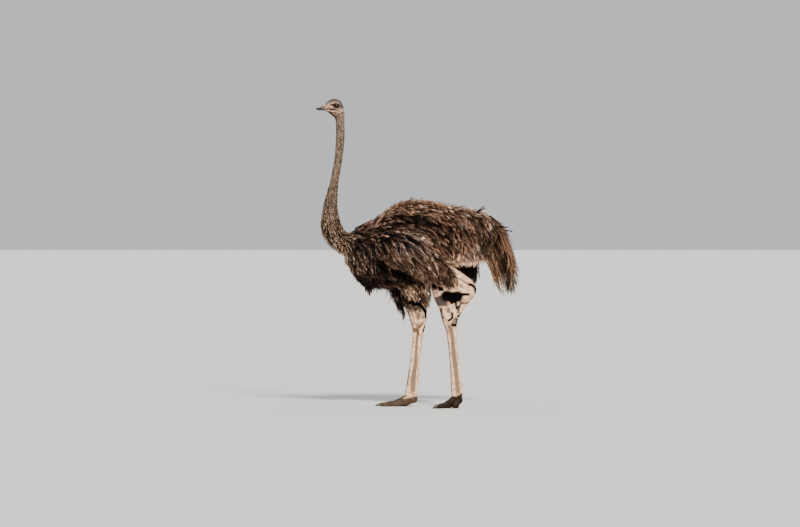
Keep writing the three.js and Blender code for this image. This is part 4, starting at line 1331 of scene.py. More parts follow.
# Where the plumage is brighter, redder or paler than elsewhere: by how much, then x, z and two half sizes.
# Part of the brightness is painted light and shade: painted shade over the breast's lobe, beside it and low
# under the wing, and painted highlight along the top of the back, on the upper wing and at the rump's hem,
# where pale buff feathers also show.
TONE_AND_PAINTED_LIGHT = [
    (-0.20, -330, 860, 120, 120), (-0.30, -250, 830, 40, 110), (0.10, -300, 1110, 110, 60),
    (-0.25, 285, 1050, 110, 70), (-0.45, 420, 1030, 40, 90), (1.0, -50, 1030, 120, 50),
    (2.1, 310, 920, 105, 34), (-0.3, 130, 705, 130, 35), (0.25, 60, 1262, 260, 40),
]
REDDER = [
    (0.45, 60, 1240, 300, 60), (0.35, 240, 980, 130, 110), (-0.70, -70, 1005, 110, 55),
    (-0.2, -350, 900, 90, 110), (-0.5, 315, 926, 110, 44), (0.4, 120, 740, 140, 60),
]
PALER = [(0.8, 315, 926, 120, 48), (0.30, -80, 1000, 100, 50)]


def markings_and_painted_light(points):
    """How bright, how reddish and how pale at its tip each feather is, from where it shows; the brightness
    holds painted light and shade besides the plumage's own tone.
    """
    tone = 1.0 + 0.40 * ripple(points, 0.040, 3) + 0.2 * ripple(points, 0.11, 31)
    for amount, *place in TONE_AND_PAINTED_LIGHT:
        tone = tone + amount * blot(points, *place)
    warmth = 0.50 + sum(amount * blot(points, *place) for amount, *place in REDDER)
    paleness = 0.30 + sum(amount * blot(points, *place) for amount, *place in PALER)
    warmth = np.clip(warmth + 0.25 * ripple(points, 0.05, 9), 0, 1)
    paleness = np.clip(paleness + 0.45 * ripple(points, 0.03, 13), 0, 1)
    return {"tone": np.maximum(tone, 0.2), "warmth": warmth, "paleness": paleness}


def feather_finish(name, dark, grey, brown, tip, open_at=(0.26, 0.82), tip_span=(0.86, 1.18)):
    """Dark at the root, partly as painted shade between plumes, grey or reddish brown along the barbs, and
    pale at the tip, partly as painted highlight, in fine streaks.
    """
    finish = Finish(name, roughness=0.65, specular_ior_level=0.05)
    reach, tone = finish.attribute("reach"), finish.attribute("tone")
    colour = finish.mix(finish.attribute("warmth"), grey, brown)
    colour = finish.mix(finish.between(reach, *open_at), dark, colour)
    ending = finish.between(reach + 0.3 * finish.noise(70), *tip_span)
    colour = finish.mix(ending * finish.attribute("paleness"), colour, tip)
    return finish.done(finish.shade(colour, tone * (finish.noise(260, 2) * 1.8 + 0.1)))


# The near-black root colour is partly painted shade between the plumes, and the pale tip colour partly
# painted highlight.
PLUMAGE = (0.0012, 0.0008, 0.0006), (0.115, 0.077, 0.063), (0.186, 0.090, 0.047), (0.66, 0.48, 0.35)
plumage = feather_finish("plumage", *PLUMAGE)


def grow(names, roots, normals, places, rng, length, tune, group=0, finish=plumage, follow=lie, low=4 * MM,
         high=30 * MM, hang=0.0, swing=0.28, lift=0.10, **shape):
    """Grows plumes from roots, and makes each group of them a piece.

    length, high and hang may be functions of the roots. swing and lift turn plumes aside and off the hide,
    and tune changes the look that their places give them, painted light and shade included.
    """
    surface, _ = nearest_skin(roots)
    clear = np.linalg.norm(surface - roots, axis=1) < BURIED
    group = (group * np.ones(len(roots)))[clear]
    roots, normals, places = roots[clear], normals[clear], places[clear]
    length, high, hang = ((value(roots) if callable(value) else value) * np.ones(len(roots))
                          for value in (length, high, hang))
    length = length * rng.uniform(0.8, 1.15, len(roots))
    first = follow(roots, normals)
    sleek = 1 - 0.5 * smooth(0.55, 0.85, normals[:, 2]) * (roots[:, 2] > 1.0)
    turn = sleek * (swing * ripple(roots, 0.05, 5) + rng.normal(0, 0.55 * swing, len(roots)))
    first = unit(first + np.cross(normals, first) * turn[:, None] + normals * (lift * sleek)[:, None])
    high = high * rng.uniform(0.55, 1.05, len(roots))
    shafts, ups = march(roots, normals, first, length, low, high, hang, follow)
    shown = shafts[:, 5]
    look = markings_and_painted_light(shown)
    look["tone"] = look["tone"] * rng.uniform(0.25, 1.8, len(roots))
    look["map"] = places
    tune(shown, look)
    for index, name in enumerate(names):
        chosen = group == index
        coat = Coat()
        plumes(coat, shafts[chosen], ups[chosen], length[chosen],
               {label: value[chosen] for label, value in look.items()}, rng, **shape)
        coat.piece(name, finish, "plumage")


rng = np.random.default_rng(21)
TRUNK_SPACING = 20.1 * MM
TRUNK_SPAN = (0.05, 12.2)  # row numbers between which they grow
TRUNK_PARTS = [-0.22, 0.10, 0.30]  # x where breast, back, hips and rump meet
roots, normals, places = sown(body_points, TRUNK_SPAN, TRUNK_SPACING, BILL_ROOT, rng)
group = 2 * np.digitize(roots[:, 0], TRUNK_PARTS) + (roots[:, 1] > 0)


def body_length(roots):
    """Shorter over the breast and in the hollow over the wing, longest on the rump."""
    x, z = roots[:, 0], roots[:, 2]
    size = 0.118 + 0.022 * smooth(0.1, 0.3, x) - 0.032 * smooth(-0.2, -0.3, x)
    size = size - 0.040 * smooth(1.00, 0.93, z) * smooth(0.12, 0.2, x)
    return size * (1 - 0.45 * np.maximum(crease(x, z, CLEFT, 34), crease(x, z, LOBE_EDGE, 40)))


def body_height(roots):
    """Standing off most along the back's lower edge, over the dark cleft."""
    x, z = roots[:, 0], roots[:, 2]
    edge = crease(x, z, [(px, pz + 52) for px, pz in CLEFT], 26)
    fold = np.maximum(crease(x, z, CLEFT, 30), crease(x, z, LOBE_EDGE, 34))
    front = smooth(-0.26, -0.36, x) * smooth(1.12, 1.06, z) * smooth(0.80, 0.90, z)
    return (32 + 14 * smooth(1.15, 1.22, z) + 12 * edge - 24 * fold - 16 * front) * MM


def body_hang(roots):
    """Plumes over an edge that turns under hang free: the hem of the rump and the breast's lower edge."""
    rump = smooth(0.99, 0.93, roots[:, 2]) * smooth(0.12, 0.2, roots[:, 0])
    return 0.6 * rump + 0.4 * blot(roots, -290, 770, 90, 50)


# A line of painted shade over the top of the breast's lobe, under the neck.
LOBE_TOP = [(-160, 1088), (-240, 1082), (-301, 1071), (-354, 1026), (-398, 981), (-410, 944)]  # over the lobe
UNDER_WING = [(-160, 838), (-92, 792), (-32, 752), (20, 728)]  # the shadowed line below the wing


def body_shade(points, look):
    """Painted shade: near black in the cleft over the wing, over and behind the breast's lobe, along its top
    and under the wing, and darker over its underside.
    """
    x, z = points[:, 0], points[:, 2]
    under_wing = smooth(0.1, 0.5, crease(x, z, UNDER_WING, 20 + 18 * smooth(-0.1, 0, x), 0.1))
    shadow = np.max([0.97 * crease(x, z, CLEFT, 20, 0.1), 0.98 * crease(x, z, LOBE_EDGE, 36, 0.1),
                     0.95 * under_wing, 0.9 * crease(x, z, LOBE_TOP, 14, 0.1)], axis=0)
    # Painted shade over the underside of the breast's lobe.
    low = smooth(0.87, 0.79, z) * smooth(-0.21, -0.26, x)
    look["tone"] *= (1 - shadow) * (1 - 0.8 * low)
    look["paleness"] *= (1 - shadow) * (1 - low)


grow([f"{part}_{hand}" for part in ("breast", "back", "hips", "rump") for hand in hands.values()],
     roots, normals, places, rng, body_length, body_shade, group, high=body_height, hang=body_hang)

# ------------------------------------------------------------- the wings
# Folded against the sides, their plumes slant down and back over the flank. Long bowed quills with pale
# shafts lie along the upper edge, and the last plumes hang free from the lower one.
WING_SPACING = 17.5 * MM
WING_SPAN = (0.2, 7.8)  # row numbers between which they grow
WING_LIE, EDGE_LIE, FRONT_LIE = 52, -30, 14  # degrees below straight back, and what edge and front add
SHORTEST, LONGEST = 0.022, 0.120


def wing_lie(points, normals):
    """Along the upper edge at first, and steeper lower down."""
    x, _, z = points.T
    edge = smooth(0.06, -0.02, 1.085 - 0.33 * np.clip(x + 0.1, 0, 1) - z)
    angle = WING_LIE + EDGE_LIE * edge * smooth(-0.05, -0.2, x) + FRONT_LIE * smooth(-0.25, -0.33, x)
    angle = np.radians(angle)
    return level(np.stack([np.cos(angle), 0 * angle, -np.sin(angle)], 1), normals)


HEM = MM * np.array([
    (-262, 930), (-197, 878), (-144, 842), (-62, 800), (35, 786), (87, 768), (154, 750), (192, 744),
    (208, 722), (222, 716), (232, 764), (244, 850),
])


def wing_length(roots):
    """As long as the room above the hem allows, so that the lower edge is even."""
    room = np.full(len(roots), 0.08)
    for _ in range(3):
        hem = np.interp(roots[:, 0] + 0.62 * room, *HEM.T)
        room = np.clip((roots[:, 2] - hem) / 0.79, 0, LONGEST)
    return room


def wing_shade(points, look):
    """Redder towards the hem, and darker there as painted shade."""
    low = smooth(0.89, 0.74, points[:, 2])
    look["tone"] *= 0.92 - 0.50 * low
    look["paleness"] *= 1 - 0.6 * low
    look["warmth"] = np.clip(look["warmth"] + 0.4 * low, 0, 1)


for side in (LEFT, RIGHT):
    surface = partial(wing_points, side)
    roots, normals, places = sown(surface, WING_SPAN, WING_SPACING, len(WING), rng)
    roomy = wing_length(roots) > SHORTEST
    grow([f"wing_plumes_{hands[side]}"], roots[roomy], normals[roomy], places[roomy], rng, wing_length,
         wing_shade, follow=wing_lie, high=19 * MM, swing=0.2,
         hang=lambda roots: 0.4 * smooth(0.84, 0.78, roots[:, 2]))

# -------------------------------------------------------------- the neck
# Golden-brown feathers cover the root of the neck and shorten upwards to sparse grey-brown down, through
# which the skin shows. Both lie down along the neck.
neck_plumage = feather_finish("neck plumage", (0.010, 0.007, 0.005), (0.165, 0.120, 0.088),
                              (0.20, 0.118, 0.066), (0.42, 0.33, 0.25))
NECK_PARTS = {"neck_root": ((11.6, 15.6), 11.5 * MM), "neck_bend": ((15.6, 20.6), 9 * MM)}  # rows, spacing


def neck_lie(points, normals):
    """Down the neck, and back under its bend."""
    down = np.array([0.0, 0, -1]) + np.array([0.9, 0, 0.25]) * smooth(1.12, 1.02, points[:, 2])[:, None]
    return level(down, normals)


def neck_length(roots):
    return np.interp(roots[:, 2], [0.95, 1.06, 1.16, 1.30, 1.42], [0.075, 0.058, 0.044, 0.030, 0.024])


def neck_height(roots):
    return np.interp(roots[:, 2], [0.95, 1.10, 1.22, 1.42], np.array([24, 18, 9, 3.5]) * MM)


def neck_colour(roots, look):
    """Golden brown below, greyer above, and with painted shade along the top of the breast's lobe."""
    z = roots[:, 2]
    look["tone"] *= 1 - 0.7 * crease(roots[:, 0], z, LOBE_TOP, 13, 0.1)
    look["tone"] *= np.interp(z, [1.0, 1.15, 1.3], [1.13, 1.14, 0.95])
    look["warmth"] = np.interp(z, [1.0, 1.2, 1.35, 1.5], [0.9, 0.8, 0.35, 0.2])
    look["warmth"] += 0.15 * ripple(roots, 0.03, 4)
    look["paleness"] = look["paleness"] * 0.8 + 0.2


for name, (ends, spacing) in NECK_PARTS.items():
    roots, normals, places = sown(body_points, ends, spacing, BILL_ROOT, rng)
    grow([f"{name}_left", f"{name}_right"], roots, normals, places, rng, neck_length, neck_colour,
         roots[:, 1] > 0, neck_plumage, neck_lie, low=1 * MM, high=neck_height, swing=0.3, bundles=4,
         width=2.0 * MM, open_angle=24, shaft_width=1.0 * MM)

# Sparse down on the long upper neck: small wisps of hairs that fan out along its lie.
DOWN_SPACING = 6.2 * MM
DOWN_SPAN = (20.2, 29.2)  # row numbers between which it grows
HAIRS, HAIR_WIDTH = 5, 0.75 * MM
HAIR_FAN, HAIR_RISE = 0.17, 0.16  # how far a wisp's hairs spread and stand off, as shares of their length


def wisps(coat, roots, normals, lies, lengths, look, rng):
    """Adds a wisp of hairs at each root."""
    shape = (len(roots), HAIRS)
    across = np.cross(normals, lies)
    fan = np.linspace(-HAIR_FAN, HAIR_FAN, HAIRS)[None] + rng.normal(0, 0.14, shape)
    rise = HAIR_RISE + rng.normal(0, 0.07, shape)
    size = lengths[:, None] * rng.uniform(0.7, 1.15, shape)
    t = np.array([0, 0.5, 1.0])
    ahead = size[..., None] * t
    aside = (size * fan)[..., None] * t**1.3
    above = (size * rise)[..., None] * t * (1.5 - t * 0.8)
    centres = roots[:, None, None] + lies[:, None, None] * ahead[..., None]
    centres = centres + across[:, None, None] * aside[..., None]
    centres = centres + normals[:, None, None] * (above[..., None] + 0.3 * MM)
    widths = np.broadcast_to(HAIR_WIDTH * np.array([0.8, 1, 0]), ahead.shape)
    top = np.broadcast_to(normals[:, None, None], centres.shape)
    tone = look["tone"][:, None] * rng.uniform(0.7, 1.3, shape)
    reach = np.broadcast_to(0.35 + 0.65 * t, ahead.shape)
    coat.strands(centres, top, widths, widths * 0.6, reach, tone, look)


roots, normals, places = sown(body_points, DOWN_SPAN, DOWN_SPACING, BILL_ROOT, rng)
lies = neck_lie(roots, normals)
turn = 0.35 * ripple(roots, 0.02, 8) + rng.normal(0, 0.2, len(roots))
lies = unit(lies + np.cross(normals, lies) * turn[:, None])
lengths = np.interp(roots[:, 2], [1.3, 1.45, 1.75, 1.80], [0.024, 0.018, 0.014, 0.010])
lengths = lengths * rng.uniform(0.7, 1.2, len(roots))
patchy = 1 + 0.35 * ripple(roots, 0.03, 6) + 0.45 * ripple(roots, 0.009, 12)
# The same painted shade as on the face's lines darkens the down here.
tone = 1.25 * rng.uniform(0.35, 1.5, len(roots)) * patchy * (1 - 0.9 * face_shade_lines(roots[:, 0], roots[:, 2]))
look = {"tone": tone, "warmth": 0.25 + 0.25 * ripple(roots, 0.06, 7),
        "paleness": rng.uniform(0.1, 0.7, len(roots)), "map": places}
coat = Coat()
wisps(coat, roots, normals, lies, lengths, look, rng)
coat.piece("neck_down", neck_plumage, "down")

# -------------------------------------------------------------- the tail
# Long drooping plumes in layers that hang from the end of the rump, brown with worn pale tips, with a few
# pale shafts showing at their root.
TAIL_PATHS = MM * np.array([  # the outer, middle and inner layer: root, bend, low and tip, as x and z
    [[405, 1196], [520, 1110], [590, 900], [602, 745]],
    [[400, 1140], [478, 1040], [545, 880], [570, 712]],
    [[392, 1060], [430, 970], [470, 850], [520, 715]],
])
TAIL_PLUMES, TAIL_STEPS = 175, 9
TAIL_HALF_WIDTH = 84 * MM
BLEACHED, SHADOWED = 0.30, 0.42  # shares of the long plumes that are pale, and of the others that are dark
tail_finish = feather_finish("tail", (0.020, 0.012, 0.008), (0.105, 0.070, 0.052), (0.235, 0.118, 0.058),
                             (0.84, 0.78, 0.70), open_at=(0.05, 0.45), tip_span=(0.90, 1.03))
layer = rng.uniform(0, 2, TAIL_PLUMES)
aside = rng.uniform(-1, 1, TAIL_PLUMES)
begin = np.abs(rng.normal(0, 0.35, TAIL_PLUMES)).clip(0, 0.75)
end = np.clip(begin + rng.uniform(1.9, 3.0, TAIL_PLUMES), 1.6, 3.0)
shafts = np.empty((TAIL_PLUMES, TAIL_STEPS, 3))
for plume in range(TAIL_PLUMES):
    along = np.linspace(begin[plume], end[plume], TAIL_STEPS)
    line = spline(spline(TAIL_PATHS, layer[plume:plume + 1])[0], along)
    narrow = 1 - 0.25 * abs(aside[plume]) ** 2 * along / 3
    shafts[plume, :, 0] = line[:, 0] - 0.02 * aside[plume] ** 2
    shafts[plume, :, 1] = TAIL_HALF_WIDTH * aside[plume] * (0.55 + 0.45 * np.sqrt(along / 3)) * narrow
    shafts[plume, :, 2] = line[:, 1] - 0.03 * aside[plume] ** 2
shafts = shafts + rng.normal(0, 5 * MM, (TAIL_PLUMES, 1, 3))
outward = np.stack([0.75 * (1 - layer), 1.1 * np.sign(aside) * np.abs(aside) ** 0.7, 0.25 * (1 - layer)], 1)
outward = outward + rng.normal(0, 0.2, (TAIL_PLUMES, 3))


def set_out(shafts, outward):
    """The outward directions along shafts, square to them, and the shafts' lengths."""
    ups = level(outward, unit(np.gradient(shafts, axis=1)))
    return ups, np.linalg.norm(np.diff(shafts, axis=1), axis=2).sum(1)


ups, lengths = set_out(shafts, outward[:, None])
bleached = (end > 2.6) & (rng.uniform(0, 1, TAIL_PLUMES) < BLEACHED)
shadowed = ~bleached & (rng.uniform(0, 1, TAIL_PLUMES) < SHADOWED)
look = {"tone": np.where(bleached, 1.25, np.where(shadowed, 0.1, rng.uniform(0.55, 2.05, TAIL_PLUMES))),
        "warmth": rng.uniform(0.2, 0.9, TAIL_PLUMES),
        "paleness": np.where(bleached, 0.85, rng.uniform(0.0, 0.15, TAIL_PLUMES)),
        "map": on_map(layer / 2, aside / 2 + 0.5)}
coat = Coat()
plumes(coat, shafts, ups, lengths, look, rng, bundles=14, spread=0.20, width=3.2 * MM, open_angle=26,
       droop=0.25, curl=0.10, roll=0.5, bend=0.03, shaft_tone=1.6, shaft_width=2.6 * MM, vary=0.25)
coat.piece("tail_plumes", tail_finish, "tail_plumes")

# ------------------------------------------------ feathers of the thighs
# The right thigh stands forward, and shaggy feathers run down over its top from the belly, longest in front,
# to a ragged edge on the bare skin.
THIGH_SPACING = 17.5 * MM
THIGH_SPAN = (0.680, 0.830)  # heights between which they grow
THIGH_LIE = np.array([0.12, 0, -1.0])
# A line of painted shadow between the wing and the right thigh.
WING_SHADOW_ON_THIGH = [(-129, 877), (-60, 826), (-3, 788), (44, 746)]  # between the wing and the right thigh


def thigh_lie(points, normals):
    return level(THIGH_LIE, normals)


def front_share(points):
    """1 in front of the right thigh, and 0 over its rear half."""
    return smooth(0.55, 0.95, 1 - on_leg(points, RIGHT)[1])


def thigh_colour(points, look):
    """Dark in front and golden buff behind, darker along the lowest edge, and painted shadow under the wing.
    """
    golden = smooth(0.15, 0.38, np.clip(on_leg(points, RIGHT)[1], 0, 1))
    dimmed = smooth(0.672, 0.650, points[:, 2])
    # Painted shadow along the line under the wing.
    dimmed = np.maximum(dimmed, 1.12 * crease(points[:, 0], points[:, 2], WING_SHADOW_ON_THIGH, 30, 0.1))
    look["tone"] *= (0.55 + 4.3 * golden) * (1 - 0.85 * dimmed)
    look["warmth"] = np.clip(0.45 + 0.1 * golden + 0.3 * ripple(points, 0.03, 17), 0, 1)
    look["paleness"] = np.clip(0.05 + 0.75 * golden * (1 - dimmed) + 0.4 * ripple(points, 0.02, 18), 0, 1)


roots, normals, places = sown(partial(leg_points, RIGHT), THIGH_SPAN, THIGH_SPACING, 1.0, rng)
grow(["thigh_plumes_right"], roots, normals, places, rng, lambda points: 0.052 + 0.088 * front_share(points),
     thigh_colour, finish=neck_plumage, follow=thigh_lie, low=2 * MM,
     high=lambda points: 9 * MM + 38 * MM * front_share(points),
     hang=lambda points: 0.45 * front_share(points), swing=0.2, lift=0.12, bundles=7)

# --------------------------------------------- loose plumes at the edges
# Single plumes that hang or stand off where the plumage ends: long ones under the right side of the rump,
# darkened as painted shade, frayed ones below the breast and the wings, and stray ones over the root of the
# tail.
LOOSE = {  # name, then plumes: root, end, bend outwards, how many, how far they scatter, brightness; in mm
    # Dark plumes set under the wing's hem, as painted shade.
    "flank_plumes_left": [
        ((60, -176, 748), (76, -176, 672), 6, 3, 5, 0.4), ((36, -150, 752), (44, -140, 696), 6, 3, 7, 0.2),
        ((4, -130, 756), (6, -118, 712), 6, 4, 10, 0.15),
    ],
    "flank_plumes_right": [
        ((-118, 96, 700), (-90, 104, 552), 10, 7, 6, 0.35),
        ((-132, 104, 720), (-118, 112, 606), 10, 6, 8, 0.45),
        ((-104, 60, 700), (-74, 70, 618), 8, 6, 8, 0.5), ((-150, 80, 742), (-140, 84, 660), 8, 6, 10, 0.5),
    ],
    "breast_fringe": [
        ((-318, -50, 752), (-308, -54, 700), 3, 3, 4, 0.4), ((-330, 20, 760), (-322, 20, 712), 3, 3, 5, 0.4),
        ((-292, -20, 744), (-284, -22, 704), 3, 3, 5, 0.4),
        ((-262, -60, 744), (-250, -62, 706), 3, 3, 6, 0.5),
        ((-300, 60, 752), (-290, 64, 706), 3, 3, 5, 0.4), ((-300, -40, 752), (-296, -44, 690), 2, 5, 4, 0.2),
        ((-312, -10, 752), (-302, -12, 696), 2, 4, 5, 0.2),
    ],
    # The hem's plumes are pale buff, and brightened further as painted light.
    **{f"rump_hem_{hands[side]}": [
        ((x - 14, side * (112 - 0.07 * (x - 230)), 944),
         (x + 4, side * (122 - 0.07 * (x - 230)), 872 + 0.1 * (x - 230)), 6, 3, 7, 2.4)
        for x in range(206, 420, 17)
    ] for side in (LEFT, RIGHT)},
    # Dark, as painted shade under the rump.
    "rump_plumes_right": [
        ((x, y, 935), (x + 22, y + 8, low), 8, 6, 14, 0.16)
        for x, low in ((226, 822), (244, 806), (262, 790), (278, 780), (294, 770), (310, 762), (326, 776),
                       (338, 800))
        for y in (92, 120)
    ],
    "wing_hem_left": [
        ((40, -196, 806), (47, -196, 706), 4, 2, 2, 1.5), ((54, -198, 800), (62, -198, 694), 4, 2, 2, 1.5),
        ((70, -196, 792), (78, -198, 712), 4, 2, 2, 1.3),
    ],
    "thigh_streaks_right": [
        ((-40, 62, 742), (60, 62, 640), -8, 2, 4, 1.5), ((-8, 62, 714), (66, 60, 622), -8, 3, 4, 1.6),
        ((10, 60, 690), (52, 58, 636), -6, 2, 4, 1.5), ((34, 66, 700), (70, 64, 610), -8, 2, 4, 1.5),
    ],
    "shoulder_plumes": [
        ((x, y, z - 40), (x + 66, 1.1 * y, z), 4, 3, 9, 0.9)
        for x, z in ((-404, 1108), (-376, 1130), (-340, 1148)) for y in (-52, -18, 18, 52)
    ],
    "tail_root_plumes": [
        ((362, -34, 1204), (408, -36, 1240), -3, 5, 4, 0.3),
        ((360, -66, 1196), (414, -70, 1226), -3, 4, 5, 0.3),
        ((440, 26, 1102), (586, 30, 1078), 4, 8, 7, 0.16),
        ((440, -34, 1112), (556, -36, 1104), 4, 7, 7, 0.16),
        ((440, 4, 1092), (560, 6, 1066), 4, 7, 7, 0.16), ((430, -10, 1124), (524, -12, 1128), 4, 4, 6, 0.2),
    ],
}
fringe = feather_finish("fringe", *PLUMAGE, open_at=(0.0, 0.25))  # coloured from the root
for name, bunches in LOOSE.items():
    columns = [[bunch[k] for bunch in bunches for _ in range(bunch[3])] for k in range(6)]
    root, end, bend, _, scatter, bright = (np.array(column, float) for column in columns)
    shift = rng.normal(0, 1, root.shape) * scatter[:, None]
    share = np.linspace(0, 1, 7)[None, :, None]
    shafts = (root + shift)[:, None] * (1 - share) + (end + 0.5 * shift)[:, None] * share
    outward = np.stack([0.3 + 0 * bend, np.sign(root[:, 1]), 0.2 + 0 * bend], 1)
    shafts = (shafts + (bend[:, None, None] * 4 * share * (1 - share)) * outward[:, None]) * MM
    ups, lengths = set_out(shafts, outward[:, None])
    bleached = smooth(0.9, 1.4, bright)
    look = {"tone": bright * rng.uniform(0.6, 1.5 - 0.4 * bleached),
            "warmth": rng.uniform(0.2, 0.7, len(root)) * (1 - 0.4 * bleached),
            "paleness": rng.uniform(0, 0.35, len(root)) * (bright > 0.3) + 0.7 * bleached,
            "map": on_map(root[:, 0] / 1400 + 0.45, root[:, 1] / 400 + 0.5)}
    coat = Coat()
    spread, droop = (0.16, 0.04) if "tail" in name else (0.36, 0.2)
    plumes(coat, shafts, ups, lengths, look, rng, bundles=8, spread=spread, width=2.6 * MM, open_angle=20,
           droop=droop, woolly=12, curl=0.06, bend=0.02)
    coat.piece(name, fringe if bleached.all() else plumage, "plumage")

# -------------------------------------------------- quills over the coat
# Long narrow plumes with pale shafts lie on top of the others: bowed ones along the upper edge of each
# wing, a few bleached ones behind it, and one pair that frames the root of the tail.
WING_BOW = [(-214, 1074), (-140, 1090), (-50, 1076), (36, 1030), (104, 940), (150, 830), (184, 735)]
QUILLS = [  # path in x and z, how far below it the quill lies, brightness, warmth and paleness
    (WING_BOW[:5], 10, 3.4, 0.1, 0.9), (WING_BOW[:5], 16, 0.1, 0.1, 0.0), (WING_BOW[1:6], 22, 2.8, 0.2, 0.6),
    (WING_BOW[2:7], 30, 2.4, 0.3, 0.5), (WING_BOW[1:6], 36, 0.1, 0.1, 0.0), (WING_BOW[:5], 50, 3.0, 0.0, 0.8),
    (WING_BOW[1:6], 57, 0.1, 0.2, 0.0), (WING_BOW[1:6], 64, 2.6, 0.2, 0.7),
    (WING_BOW[2:7], 72, 2.3, 0.4, 0.5), (WING_BOW[1:6], 98, 2.2, 0.1, 0.6),
    (WING_BOW[2:7], 112, 2.0, 0.5, 0.5),
    ([(172, 1046), (190, 1000), (212, 945), (236, 888)], 0, 3.6, 0.8, 1.0),
    ([(196, 1040), (214, 990), (236, 930), (254, 880)], 0, 3.2, 0.8, 1.0),
    ([(182, 1044), (200, 996), (222, 938), (244, 886)], 0, 0.1, 0.8, 0.0),
    ([(150, 1020), (170, 970), (196, 905), (214, 860)], 0, 2.8, 0.9, 0.8),
    ([(236, 1186), (262, 1180), (284, 1166), (300, 1140)], 0, 3.6, 0.4, 1.0),
    ([(262, 1172), (286, 1164), (306, 1148), (318, 1122)], 0, 3.2, 0.4, 1.0),
    ([(384, 1188), (410, 1166), (436, 1132), (458, 1088)], 0, 5.0, 0.1, 1.0),
    ([(378, 1184), (404, 1160), (430, 1124), (450, 1080)], 0, 4.4, 0.1, 1.0),
    ([(372, 1178), (398, 1152), (420, 1114), (436, 1072)], 0, 3.0, 0.5, 1.0),
]
QUILL_STEPS = 9
QUILL_HEIGHT, TAIL_LIFT = 22 * MM, 12 * MM  # over the skin, and how much more beside the root of the tail
for side in (LEFT, RIGHT):
    shafts = []
    for path, below, *_ in QUILLS:
        lowered = np.array(path, float) - np.array([0.55 * below, below])
        line = spline(lowered, np.linspace(0, len(path) - 1, QUILL_STEPS)) * MM
        hits = [skin_tree.ray_cast(Vector((x, side, z)), Vector((0, -side, 0))) for x, z in line]
        away = np.array([abs(hit[0].y) if hit[0] else 0.1 for hit in hits])
        away = np.convolve(np.pad(away, 1, mode="edge"), (0.25, 0.5, 0.25), mode="valid")
        height = QUILL_HEIGHT + TAIL_LIFT * (path[0][0] > 350)
        rise = height * smooth(-0.2, 0.3, np.linspace(0, 1, QUILL_STEPS))
        shafts.append(np.stack([line[:, 0], side * (away + rise), line[:, 1]], 1))
    shafts = np.array(shafts)
    ups, lengths = set_out(shafts, np.array([0.0, side, 0.25]))
    _, tone, warmth, paleness = np.array([quill[1:] for quill in QUILLS]).T
    look = {"tone": tone, "warmth": warmth, "paleness": paleness,
            "map": on_map(shafts[:, 0, 0] / 1.4 + 0.45, shafts[:, 0, 2] / 1.4)}
    coat = Coat()
    plumes(coat, shafts, ups, lengths, look, rng, bundles=16, spread=0.09, width=1.8 * MM, open_angle=22,
           droop=0.05, woolly=8, curl=0.05, roll=0.1, bend=0.0, shaft_tone=2.2, shaft_width=3.2 * MM)
    coat.piece(f"quills_{hands[side]}", plumage, "plumage")

# --------------------------------------------------- bristles and lashes
# Stiff hair-like feathers on the crown, shorter and fewer towards the bill, and a row of black lashes along
# each upper lid. Every one is a thin bent spike, set on a point with a direction, a size and a place.
BRISTLE_SIDES, BRISTLE_STEPS = 3, 3


